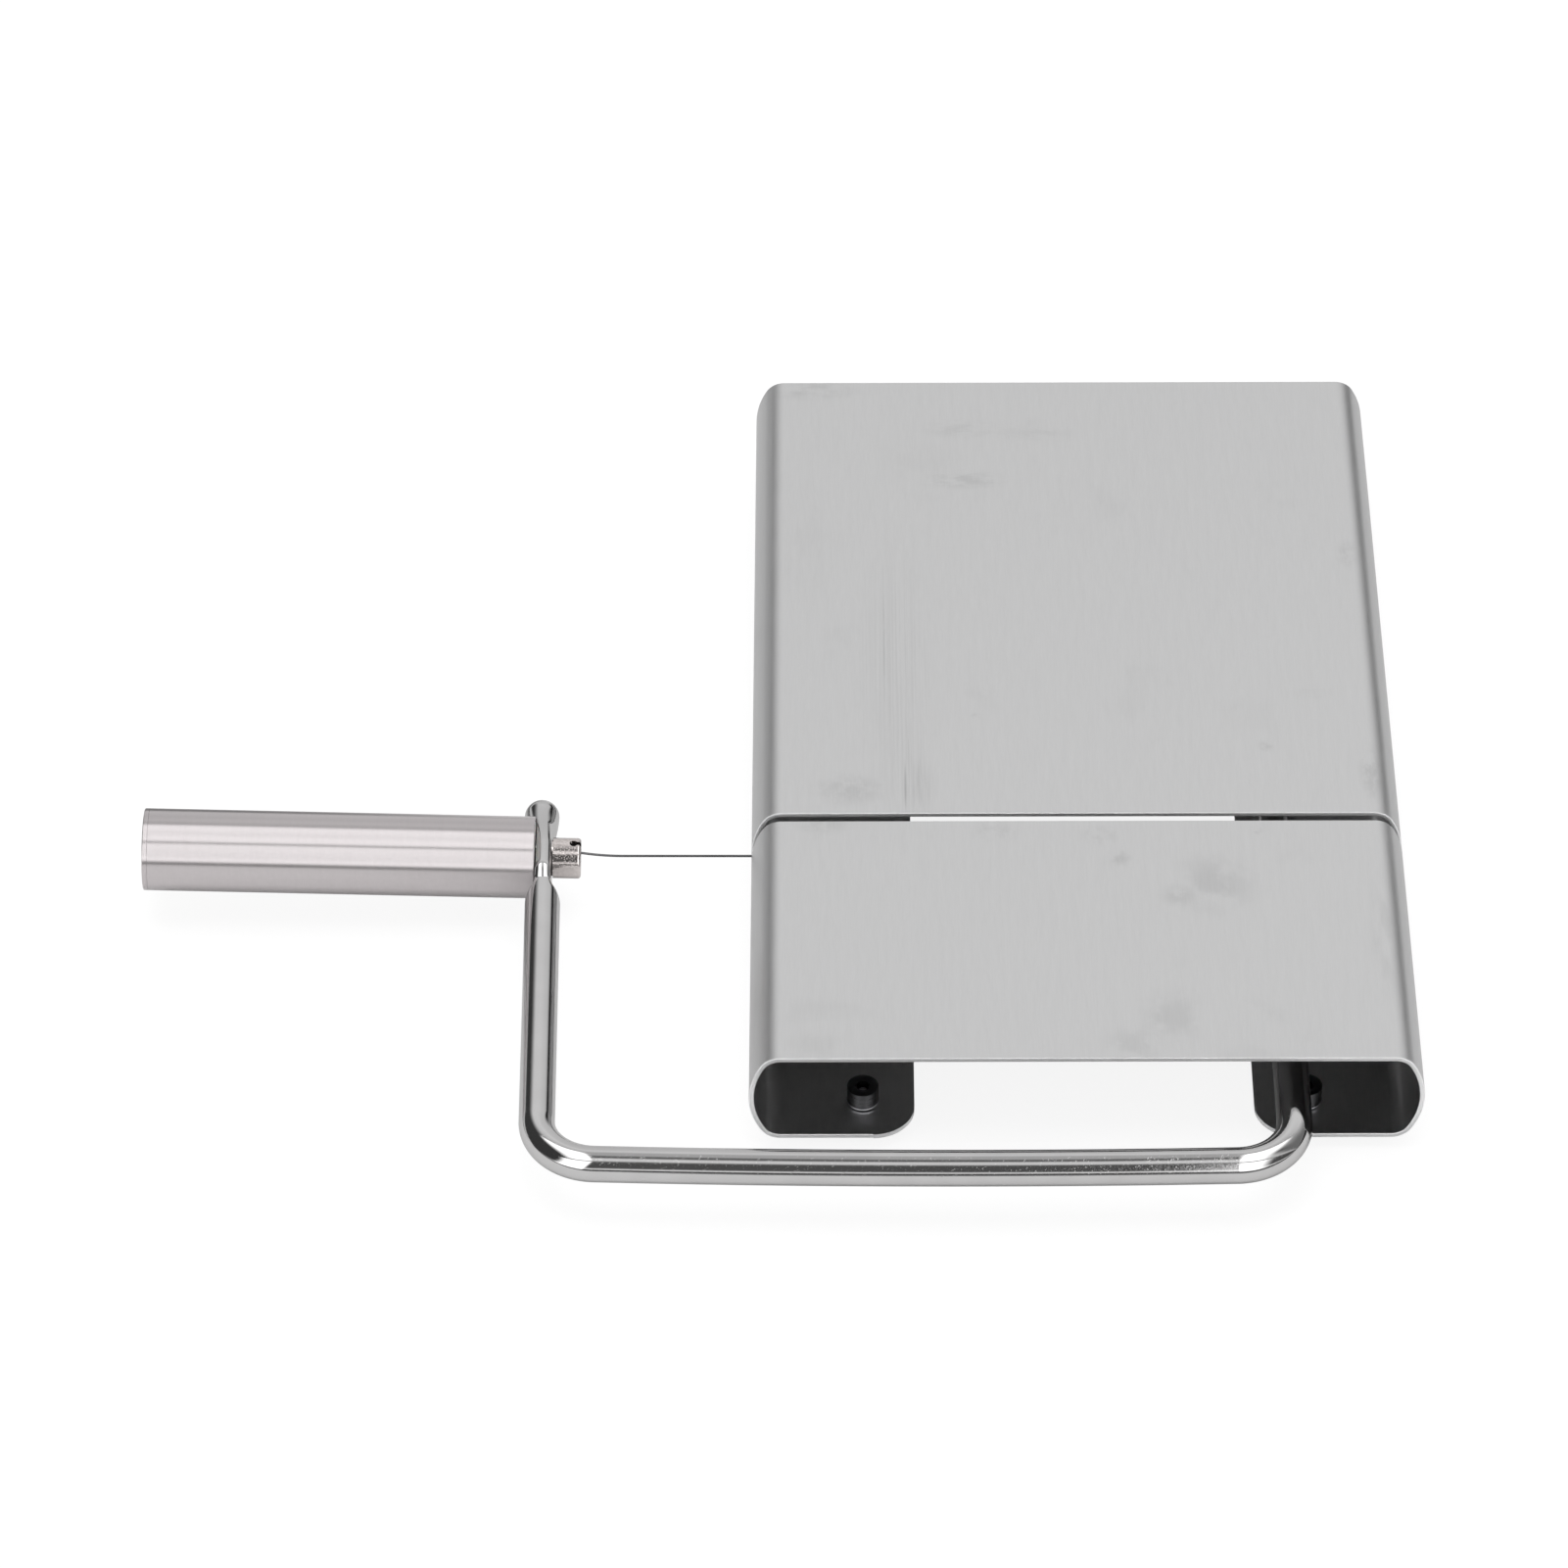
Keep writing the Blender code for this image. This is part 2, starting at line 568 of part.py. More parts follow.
def handle_pieces(tension, satin, plastic):
    """Tube, left end cap and threaded insert, along X of the tension axis, right end at the neck."""
    right = -(HANDLE_SEAT + SEAT_GAP)
    left = right - HANDLE_LENGTH
    chamfer = HANDLE_EDGE_CHAMFER
    bore = HANDLE_RADIUS - HANDLE_WALL
    tube_left = left + END_CAP_THICKNESS + RUNNING_GAP
    tube = [
        (bore, tube_left),
        (HANDLE_RADIUS - chamfer, tube_left),
        (HANDLE_RADIUS, tube_left + chamfer),
        (HANDLE_RADIUS, right - chamfer),
        (HANDLE_RADIUS - chamfer, right),
        (bore, right),
    ]
    piece("handle_tube", turned(tube, HANDLE_SIDES), satin, tension, along("X"))
    spigot = bore - RUNNING_GAP
    hollow = spigot - END_CAP_SPIGOT_WALL
    cap_inside = left + END_CAP_THICKNESS
    cap = [
        (0, left),
        (HANDLE_RADIUS - chamfer, left),
        (HANDLE_RADIUS, left + chamfer),
        (HANDLE_RADIUS, cap_inside - chamfer),
        (HANDLE_RADIUS - chamfer, cap_inside),
        (spigot, cap_inside),
        (spigot, cap_inside + END_CAP_SPIGOT),
        (hollow, cap_inside + END_CAP_SPIGOT),
        (hollow, cap_inside),
        (0, cap_inside),
    ]
    piece("handle_end_cap", turned(cap, HANDLE_SIDES), satin, tension, along("X"))
    thread_bore = BOLT_SHANK_RADIUS + RUNNING_GAP
    insert = [
        (thread_bore, right),
        (thread_bore, right - INSERT_LENGTH),
        (spigot, right - INSERT_LENGTH),
        (spigot, right),
    ]
    piece("handle_thread_insert", turned(insert, HANDLE_SIDES), plastic, tension, along("X"))


def tension_bolt(tension, nickel):
    """Round head with a chamfered rim, and the threaded shank through the neck into the handle."""
    chamfer = BOLT_HEAD_CHAMFER
    tail = HEAD_START - BOLT_SHANK_LENGTH
    profile = [
        (0, tail),
        (BOLT_SHANK_RADIUS - chamfer, tail),
        (BOLT_SHANK_RADIUS, tail + chamfer),
        (BOLT_SHANK_RADIUS, HEAD_START),
        (BOLT_HEAD_RADIUS, HEAD_START),
        (BOLT_HEAD_RADIUS, HEAD_END - chamfer),
        (BOLT_HEAD_RADIUS - chamfer, HEAD_END),
        (0, HEAD_END),
    ]
    bolt = piece("tension_bolt", turned(profile, HANDLE_SIDES), nickel, tension, along("X"))
    depth = BOLT_HEAD_RADIUS + OVERRUN
    floor = WIRE_RISE - BARREL_HEIGHT / 2 - HOLE_GAP
    pocket_place = Matrix.Translation((POCKET_X, 0, floor + depth / 2))
    cut(bolt, rod_cutter("wire_pocket_cutter", POCKET_RADIUS, depth, SMALL_SIDES, tension, pocket_place))
    half = WIRE_SLIT / 2
    slit_low = WIRE_RISE - half
    slit = prism([(-half, slit_low), (half, slit_low), (half, depth), (-half, depth)],
                 POCKET_FROM_FACE + OVERRUN)
    slit.transform(Matrix(((0, 0, 1, 0), (1, 0, 0, 0), (0, 1, 0, 0), (0, 0, 0, 1))))
    cut(bolt, piece("wire_slit_cutter", slit, None, tension, Matrix.Translation((POCKET_X, 0, 0))))


def wire_route():
    """Points of the wire from its barrel to its sleeve, from the middle of the neck in the bow's plane."""
    tilt = Matrix.Rotation(TENSION_TILT, 3, "Y")
    start = tilt @ Vector((POCKET_X - BARREL_RADIUS / 2, 0, WIRE_RISE))
    leave = tilt @ Vector((HEAD_END, 0, WIRE_RISE))
    anchor = PIVOT - NECK
    settle = Vector((leave.x + WIRE_SETTLE, 0, WIRE_REST_RISE))
    run = anchor - settle
    slope = run.z / run.x
    first_slope = 2 * (settle.z - leave.z) / WIRE_SETTLE - slope
    points = [start, leave]
    for step in range(1, KINK_STEPS + 1):
        share = step / KINK_STEPS
        rise = WIRE_SETTLE * (first_slope * share + (slope - first_slope) * share * share / 2)
        points.append(Vector((leave.x + WIRE_SETTLE * share, 0, leave.z + rise)))
    points.append(anchor)
    end_x = anchor.x + ROD_RADIUS + 2 * SEAT_GAP + SLEEVE_LENGTH
    points.append(Vector((end_x, 0, anchor.z + slope * (end_x - anchor.x))))
    return points


def cutting_wire(tension, stainless):
    """The wire and the two ends that hold it: a barrel in the bolt, a sleeve behind the shaft."""
    untilt = Matrix.Rotation(-TENSION_TILT, 4, "Y")
    points = wire_route()
    curve = bpy.data.curves.new("cutting_wire", "CURVE")
    curve.dimensions = "3D"
    curve.bevel_depth = WIRE_RADIUS
    curve.bevel_resolution = 2
    curve.use_fill_caps = True
    spline = curve.splines.new("POLY")
    spline.points.add(len(points) - 1)
    for target, point in zip(spline.points, points):
        target.co = (*point, 1)
    curve.materials.append(stainless)
    wire = bpy.data.objects.new("cutting_wire", curve)
    bpy.context.scene.collection.objects.link(wire)
    wire.parent = tension
    wire.matrix_local = untilt

    half = BARREL_HEIGHT / 2
    post = [(0, -half), (BARREL_RADIUS, -half), (BARREL_RADIUS, half), (0, half)]
    barrel = piece("wire_barrel_end", turned(post, SMALL_SIDES), stainless, tension,
                   Matrix.Translation((POCKET_X, 0, WIRE_RISE)))
    hole = rod_cutter("barrel_hole_cutter", WIRE_RADIUS + WIRE_GAP, 2 * (BARREL_RADIUS + OVERRUN),
                      SMALL_SIDES, tension, Matrix.Translation((POCKET_X, 0, WIRE_RISE)) @ along("X"))
    cut(barrel, hole)

    anchor, last = points[-2], points[-1]
    lean = math.atan2(anchor.z - last.z, last.x - anchor.x)
    start = ROD_RADIUS + SEAT_GAP
    bore = WIRE_RADIUS + WIRE_GAP
    tube = [
        (bore, start),
        (bore, start + SLEEVE_LENGTH),
        (SLEEVE_RADIUS, start + SLEEVE_LENGTH),
        (SLEEVE_RADIUS, start),
    ]
    place = untilt @ Matrix.Translation(anchor) @ Matrix.Rotation(lean, 4, "Y") @ along("X")
    piece("wire_stop_sleeve", turned(tube, SMALL_SIDES), stainless, tension, place)


def centre_on_outline(root):
    """Puts the middle of the part's outline over the origin. The feet already stand at height zero."""
    bpy.context.view_layer.update()
    graph = bpy.context.evaluated_depsgraph_get()
    xs = []
    ys = []
    for item in bpy.context.scene.objects:
        if item.type == "EMPTY" or item.hide_render:
            continue
        evaluated = item.evaluated_get(graph)
        shape = evaluated.to_mesh()
        for vertex in shape.vertices:
            place = evaluated.matrix_world @ vertex.co
            xs.append(place.x)
            ys.append(place.y)
        evaluated.to_mesh_clear()
    root.location = (-(min(xs) + max(xs)) / 2, -(min(ys) + max(ys)) / 2, 0)
    bpy.context.view_layer.update()


def build():
    clear_scene()
    brushed = material("brushed_stainless", (0.56, 0.56, 0.57), 0.34, 1.0)
    polished = material("polished_stainless", (0.66, 0.66, 0.67), 0.10, 1.0)
    satin = material("satin_stainless", (0.62, 0.61, 0.61), 0.30, 1.0)
    nickel = material("nickel_plate", (0.64, 0.60, 0.58), 0.24, 1.0)
    dark_steel = material("zinc_steel", (0.38, 0.38, 0.39), 0.40, 1.0)
    rubber = material("black_rubber", (0.030, 0.030, 0.032), 0.75, 0.0)
    plastic = material("white_nylon", (0.72, 0.71, 0.68), 0.50, 0.0)

    root = empty("cheese_cutter")
    bow = empty("bow_pivot", root, Matrix.Translation(PIVOT))
    tension = empty("tension_axis", bow,
                    Matrix.Translation(NECK - PIVOT) @ Matrix.Rotation(TENSION_TILT, 4, "Y"))

    base_plate(root, brushed)
    for where, place in foot_places().items():
        foot(where, place, root, dark_steel, rubber, dark_steel)
    for name, end in (("front", -1), ("rear", 1)):
        hinge_bracket(f"{name}_hinge_bracket", root, brushed, end)
        pivot_bush(f"{name}_pivot_bush", root, plastic, end)
        retaining_clip(f"{name}_retaining_clip", bow, dark_steel, end)
    bow_rod(bow, polished)
    handle_pieces(tension, satin, plastic)
    tension_bolt(tension, nickel)
    cutting_wire(tension, polished)
    centre_on_outline(root)
    print("pivot", tuple(round(value, 6) for value in bow.matrix_world.translation))
    print("neck", tuple(round(value, 6) for value in tension.matrix_world.translation))
    print("root", tuple(round(value, 6) for value in root.location))


build()
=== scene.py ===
"""Wire cheese cutter: finishes and fine shapes for each piece, in the order it is put together."""

import math

import bmesh
import bpy
from mathutils import Matrix, Vector


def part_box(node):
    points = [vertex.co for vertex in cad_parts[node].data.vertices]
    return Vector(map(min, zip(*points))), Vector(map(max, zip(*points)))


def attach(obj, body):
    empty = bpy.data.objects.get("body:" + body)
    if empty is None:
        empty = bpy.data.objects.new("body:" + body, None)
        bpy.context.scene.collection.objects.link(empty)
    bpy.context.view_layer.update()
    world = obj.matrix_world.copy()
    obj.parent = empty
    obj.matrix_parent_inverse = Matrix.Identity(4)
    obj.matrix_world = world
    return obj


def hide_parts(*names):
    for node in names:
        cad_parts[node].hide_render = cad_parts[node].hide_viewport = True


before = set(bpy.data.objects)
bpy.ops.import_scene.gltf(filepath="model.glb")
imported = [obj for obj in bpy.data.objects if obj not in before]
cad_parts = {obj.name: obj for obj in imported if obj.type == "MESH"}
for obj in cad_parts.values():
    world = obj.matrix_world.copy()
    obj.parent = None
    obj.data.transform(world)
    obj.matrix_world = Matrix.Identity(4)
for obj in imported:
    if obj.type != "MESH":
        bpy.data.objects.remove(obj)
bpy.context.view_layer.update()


# The board
# One sheet of 1 mm stainless steel. The flat blank is cut with its slot, its rounded flange corners
# and its nut holes, brushed along its depth, and then bent round into a C. It carries everything.

BOARD_WIDTH = 0.1300
BOARD_DEPTH = 0.2100
BOARD_HEIGHT = 0.0212
SHEET = 0.0010
EDGE_RADIUS = 0.0044
EDGE_TURN = math.radians(60)
FLANGE_REACH = 0.0320
FLANGE_CORNER_RADIUS = 0.0080
SLOT_FROM_FRONT = 0.0696
SLOT_WIDTH = 0.0023
SLOT_BELOW_MIDDLE = 0.0007
NUT_HOLE_RADIUS = 0.0025
FOOT_FROM_SIDE = 0.0220
FOOT_FROM_END = 0.0095
CUT_EDGE = 0.00020
SLOT_FRONT_SHARE = 0.4
LINE_REACH = 0.0000002
LEAST_COLUMN = 0.0000115

board_low, board_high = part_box("base_plate")
BOARD = Matrix.Translation(((board_low.x + board_high.x) / 2, board_low.y, board_low.z))


class Value:
    """What a node gives. Arithmetic on it adds the nodes that work out the answer."""

    def __init__(self, socket):
        self.socket = socket
        self.tree = socket.id_data

    def __add__(self, other):
        return maths("ADD", self, other)

    def __sub__(self, other):
        return maths("SUBTRACT", self, other)

    def __rsub__(self, other):
        return maths("SUBTRACT", other, self)

    def __mul__(self, other):
        return maths("MULTIPLY", self, other)

    def __truediv__(self, other):
        return maths("DIVIDE", self, other)

    def ranged(self, low, high, new_low=0.0, new_high=1.0, shape="LINEAR"):
        """Carried over from one range to another, and held at its ends."""
        inputs = {"Value": self, "From Min": low, "From Max": high, "To Min": new_low, "To Max": new_high}
        return add(self.tree, "ShaderNodeMapRange", inputs, interpolation_type=shape)[0]

    def eased(self, low, high, new_low=0.0, new_high=1.0):
        return self.ranged(low, high, new_low, new_high, "SMOOTHSTEP")


def add(tree, kind, inputs=None, **settings):
    """Adds a node with its settings, and each input as a plain value or as what another node gives.
    Its outputs come back by name and by number."""
    made = tree.nodes.new(kind)
    for name, value in settings.items():
        setattr(made, name, value)
    for name, value in (inputs or {}).items():
        if isinstance(value, Value):
            tree.links.new(value.socket, made.inputs[name])
        else:
            made.inputs[name].default_value = value
    outputs = list(made.outputs)
    return {socket.name: Value(socket) for socket in outputs[::-1]} | dict(enumerate(map(Value, outputs)))


def maths(operation, *sides):
    """One step of arithmetic, on vectors where one side is a vector."""
    values = [side for side in sides if isinstance(side, Value)]
    vectors = len(values) < len(sides) and any(isinstance(side, tuple) for side in sides)
    if vectors or any(value.socket.type == "VECTOR" for value in values):
        made = add(values[0].tree, "ShaderNodeVectorMath", dict(enumerate(sides)), operation=operation)
        return made["Value" if operation in ("LENGTH", "DOT_PRODUCT") else "Vector"]
    return add(values[0].tree, "ShaderNodeMath", dict(enumerate(sides)), operation=operation)[0]


def strongest(first, *others):
    for other in others:
        first = maths("MAXIMUM", first, other)
    return first


def scaled(vector, level):
    return add(level.tree, "ShaderNodeVectorMath", {0: vector, "Scale": level}, operation="SCALE")[0]


def split(vector):
    return add(vector.tree, "ShaderNodeSeparateXYZ", {0: vector})


def own_place(tree):
    return add(tree, "ShaderNodeTexCoord")["Object"]


def mark_on(tree, name):
    """1 on the faces that carry this mark, 0 on the others."""
    return add(tree, "ShaderNodeAttribute", attribute_name=name)["Fac"]


def noise(place, **inputs):
    return add(place.tree, "ShaderNodeTexNoise", {"Vector": place, **inputs})[0]


def blended(share, first, second):
    """A colour between two others."""
    return add(share.tree, "ShaderNodeMix", {"Factor": share, 6: first, 7: second}, data_type="RGBA")[2]


def new_group(name, kind, results, **inputs):
    """A node group and what it is given. An input's type is its first value's, or is given as a word.
    Underscores in the inputs' names stand for spaces."""
    group = bpy.data.node_groups.new(name, kind)
    for key, first in inputs.items():
        word = first if isinstance(first, str) else {float: "Float", int: "Int", tuple: "Vector"}[type(first)]
        made = group.interface.new_socket(key.replace("_", " "), in_out="INPUT",
                                          socket_type="NodeSocket" + word)
        if word is not first:
            made.default_value = first
    result_type = "NodeSocketGeometry" if kind == "GeometryNodeTree" else "NodeSocketFloat"
    for result in results:
        group.interface.new_socket(result, in_out="OUTPUT", socket_type=result_type)
    return group, add(group, "NodeGroupInput")


def give(group, **results):
    """Ends a node group with its results."""
    add(group, "NodeGroupOutput", results)
    return group


def brushed_grain_group():
    """Fine lines along one direction, as a belt or a lathe leaves them, with broader bands in them."""
    group, given = new_group("Brushed grain", "ShaderNodeTree", ("Height", "Tone"),
                             Lines_per_metre=(2600, 30, 2600))
    place = own_place(group) * given["Lines per metre"]
    fine = noise(place, Scale=1.0, Detail=3.0, Roughness=0.65)
    broad = noise(place * (0.22, 0.35, 0.22), Scale=1.0, Detail=2.0, Roughness=0.5)
    return give(group, Height=fine, Tone=fine * 0.55 + broad * 0.45)


def handling_marks_group():
    """Faint clouds that fingers and wiping leave on bare steel: a mask, 0 where it is clean."""
    group, given = new_group("Handling marks", "ShaderNodeTree", ("Mask",), Marks_per_metre=40.0,
                             Coverage=0.3)
    clouds = noise(own_place(group), Scale=given["Marks per metre"], Detail=4.0, Roughness=0.55,
                   Distortion=0.4)
    start = 0.78 - given["Coverage"] * 0.4
    return give(group, Mask=clouds.eased(start, start + 0.16))


def smudge_group():
    """One patchy smudge at a stated place, fading out at its stated reach."""
    group, given = new_group("Smudge", "ShaderNodeTree", ("Mask",), Centre=(0, 0, 0),
                             Reach=(0.01, 0.01, 0.01), Patches_per_metre=(300, 300, 300),
                             Patch_start=0.42, Patch_end=0.66)
    place = own_place(group)
    away = maths("LENGTH", (place - given["Centre"]) / given["Reach"])
    patches = noise(place * given["Patches per metre"], Scale=1.0, Detail=3.0, Roughness=0.6)
    patches = patches.eased(given["Patch start"], given["Patch end"])
    return give(group, Mask=away.eased(0.15, 1.0, 1.0, 0.0) * patches)


brushed_grain = brushed_grain_group()
handling_marks = handling_marks_group()
smudge = smudge_group()


def placed(tree, group, **inputs):
    """A node group placed in a material. Underscores in an input's name stand for spaces."""
    return add(tree, "ShaderNodeGroup", {name.replace("_", " "): value for name, value in inputs.items()},
               node_tree=group)


def finish(name, roughness, metallic, **constants):
    """A material with its Principled shader's plain values set on the shader's own sockets."""
    material = bpy.data.materials.new(name)
    material.use_nodes = True
    shader = material.node_tree.nodes["Principled BSDF"]
    for socket, value in {"Roughness": roughness, "Metallic": metallic, **constants}.items():
        shader.inputs[socket.replace("_", " ")].default_value = value
    return material, material.node_tree, shader


def wire_up(shader, colour, rough, height, strength, distance, lathed_about=None):
    """Feeds a shader its colour, its roughness, the bump of a height and the way that its brushing runs."""
    tree = shader.id_data
    bump = add(tree, "ShaderNodeBump", {"Height": height, "Strength": strength, "Distance": distance})[0]
    fed = {"Base Color": colour, "Roughness": rough, "Normal": bump}
    if lathed_about:
        fed["Tangent"] = add(tree, "ShaderNodeTangent", direction_type="RADIAL", axis=lathed_about)[0]
    for name, value in fed.items():
        tree.links.new(value.socket, shader.inputs[name])


def brushed_plate_finish():
    """Belt-brushed stainless sheet: fine lines along the depth, with scuffs and smudges from handling."""
    material, tree, shader = finish("brushed_stainless_plate", 0.34, 1.0, Anisotropic=0.85,
                                    Specular_Tint=(0.75, 0.75, 0.75, 1))
    grain = placed(tree, brushed_grain, Lines_per_metre=(3600, 250, 3600))
    clouds = placed(tree, handling_marks, Marks_per_metre=46.0, Coverage=0.48)["Mask"] * 0.32

    def mark(x, y, wide, deep, weight, patches_across, patches_along, start=0.36, end=0.60):
        centre = ((board_low.x + board_high.x) / 2 + x, board_low.y + y, board_high.z)
        drawn = placed(tree, smudge, Centre=centre, Reach=(wide, deep, 0.01), Patch_start=start,
                       Patch_end=end, Patches_per_metre=(patches_across, patches_along, patches_across))
        return drawn["Mask"] * weight

    marks = strongest(clouds, *[mark(*smear) for smear in (
        (0.0262, 0.0498, 0.0110, 0.0120, 1.00, 160, 140),
        (0.0192, 0.0462, 0.0050, 0.0045, 1.00, 320, 300),
        (0.0166, 0.0112, 0.0085, 0.0110, 0.80, 180, 150),
        (0.0093, 0.0040, 0.0085, 0.0060, 0.70, 260, 220),
        (0.0079, 0.0576, 0.0034, 0.0034, 1.20, 250, 250),
        (0.0042, 0.0640, 0.0050, 0.0040, 0.80, 420, 300),
        (-0.0167, 0.0653, 0.0060, 0.0040, 0.80, 420, 300),
        (-0.0452, 0.0780, 0.0095, 0.0062, 1.10, 260, 240),
        (-0.0505, 0.0674, 0.0070, 0.0040, 0.80, 300, 260),
        (-0.0315, 0.0790, 0.0045, 0.0120, 0.90, 1900, 60),
        (-0.0212, 0.1939, 0.0110, 0.0040, 0.70, 220, 520),
        (-0.0210, 0.1766, 0.0120, 0.0040, 1.10, 200, 520),
        (-0.0058, 0.1925, 0.0120, 0.0040, 0.50, 220, 520),
        (-0.0528, 0.2072, 0.0120, 0.0040, 1.10, 160, 320),
        (-0.0538, 0.1540, 0.0090, 0.0250, 0.28, 160, 60),
        (-0.0519, 0.0036, 0.0080, 0.0060, 0.45, 260, 220),
        (0.0385, 0.0909, 0.0022, 0.0022, 1.20, 300, 300),
        (0.0355, 0.0654, 0.0016, 0.0016, 1.40, 300, 300),
        (-0.0196, 0.1004, 0.0016, 0.0016, 1.20, 300, 300),
        (0.0591, 0.0825, 0.0030, 0.0110, 1.20, 600, 260),
        (0.0582, 0.1520, 0.0030, 0.0060, 0.90, 600, 300),
        (0.0590, 0.0350, 0.0040, 0.0250, 0.60, 500, 120))])
    scratches = strongest(*[mark(*scratch) for scratch in (
        (-0.0360, 0.1130, 0.0100, 0.0540, 0.26, 2600, 9, 0.42, 0.62),
        (-0.0345, 0.0920, 0.0070, 0.0280, 0.26, 2400, 14, 0.40, 0.60),
        (-0.0382, 0.1230, 0.00035, 0.0330, 0.60, 1, 60, 0.20, 0.60),
        (-0.0390, 0.1120, 0.00030, 0.0220, 0.26, 1, 90, 0.30, 0.60),
        (-0.0342, 0.0790, 0.00034, 0.0100, 1.00, 1, 1, -1.0, 0.0),
        (-0.0335, 0.0880, 0.00030, 0.0160, 0.30, 1, 90, 0.30, 0.60))])
    inside, cut, rim = (mark_on(tree, name) for name in ("inside", "cut", "rim"))
    tone = grain["Tone"].ranged(0.30, 0.70, 0.966, 1.034)
    # Handling marks and scratches darken the steel. The inner face is darkened a little as painted shade; cut
    # faces and their rims are lightened as painted light.
    for mask, share in ((marks, 0.08), (scratches, 0.24), (inside, 0.02), (cut, -0.14), (rim, -0.32)):
        tone = tone - mask * share
    rough = grain["Tone"].ranged(0.30, 0.70, 0.33, 0.36)
    for mask, share in ((marks, 0.03), (cut, 0.50), (rim, 0.30)):
        rough = rough + mask * share
    wire_up(shader, scaled((0.675, 0.675, 0.677), tone), rough, grain["Height"], 0.15, 0.00001, "Y")
    return material


plate_steel = brushed_plate_finish()


def arc(centre, radius, start, end, steps):
    angles = [start + (end - start) * step / steps for step in range(steps + 1)]
    return [(centre[0] + radius * math.cos(a), centre[1] + radius * math.sin(a)) for a in angles]


def put(name, data):
    made = bpy.data.objects.new(name, data)
    bpy.context.scene.collection.objects.link(made)
    return made


def worked(name, mesh, *steps):
    """The plain mesh left after modifiers, each given as (type, settings). The tools and paths that they
    use are put away."""
    rough_out = put(name, mesh)
    spent = [rough_out]
    for kind, settings in steps:
        modifier = rough_out.modifiers.new(kind.title(), kind)
        for key, value in settings.items():
            if isinstance(value, bpy.types.Object):
                spent.append(value)
            if kind == "NODES" and key != "node_group":
                modifier[modifier.node_group.interface.items_tree[key].identifier] = value
            else:
                setattr(modifier, key, value)
    bpy.context.view_layer.update()
    graph = bpy.context.evaluated_depsgraph_get()
    done = bpy.data.meshes.new_from_object(rough_out.evaluated_get(graph))
    done.name = name
    for item in spent:
        bpy.data.objects.remove(item)
    return done


def keep(name, mesh, body, slot, *replaced, sharp=35):
    """A finished piece: smooth where it is round, flat where it is flat, riding on its body in place
    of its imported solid."""
    mesh.shade_smooth()
    mesh.set_sharp_from_angle(angle=math.radians(sharp))
    piece = put(name, worked(name, mesh, ("WEIGHTED_NORMAL", {"keep_sharp": True})))
    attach(piece, body)
    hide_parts(*replaced)


def bevelled(width, segments=2, angle=40):
    return ("BEVEL", {"width": width, "segments": segments, "limit_method": "ANGLE",
                      "angle_limit": math.radians(angle)})


def weigh_long_edges(mesh):
    """Gives the cut sheet's straight edges, at its front, its rear and its slot, their share of rounding."""
    shares = {0: 1.0, BOARD_DEPTH: 1.0, SLOT_FROM_FRONT - SLOT_WIDTH / 2: SLOT_FRONT_SHARE,
              SLOT_FROM_FRONT + SLOT_WIDTH / 2: 1.0}
    bm = bmesh.new()
    bm.from_mesh(mesh)
    weight = bm.edges.layers.float.new("bevel_weight_edge")
    for edge in bm.edges:
        a, b = (vert.co.y for vert in edge.verts)
        for y, share in shares.items():
            if max(abs(a - y), abs(b - y)) < LINE_REACH and edge.calc_face_angle(0) > math.radians(50):
                edge[weight] = share
    bm.to_mesh(mesh)
    bm.free()


def sheet_section():
    """The bent sheet's outer face, from the left flange's edge over the top to the right one's."""
    middle = BOARD_HEIGHT / 2
    side_radius = (middle - EDGE_RADIUS * (1 - math.cos(EDGE_TURN))) / math.cos(EDGE_TURN)
    flat_end = BOARD_WIDTH / 2 - EDGE_RADIUS * math.sin(EDGE_TURN) - side_radius * (1 - math.sin(EDGE_TURN))
    quarter = math.pi / 2
    high = arc((flat_end, BOARD_HEIGHT - EDGE_RADIUS), EDGE_RADIUS, quarter, quarter - EDGE_TURN, 16)
    side = arc((BOARD_WIDTH / 2 - side_radius, middle), side_radius, quarter - EDGE_TURN,
               EDGE_TURN - quarter, 56)
    low = arc((flat_end, EDGE_RADIUS), EDGE_RADIUS, EDGE_TURN - quarter, -quarter, 16)
    right = high + side[1:-1] + low + [(BOARD_WIDTH / 2 - FLANGE_REACH, 0)]
    return [(-x, z) for x, z in reversed(right)] + right, side_radius


def lengths_along(points):
    total = 0
    lengths = [0]
    for (ax, az), (bx, bz) in zip(points, points[1:]):
        total += math.hypot(bx - ax, bz - az)
        lengths.append(total)
    return lengths


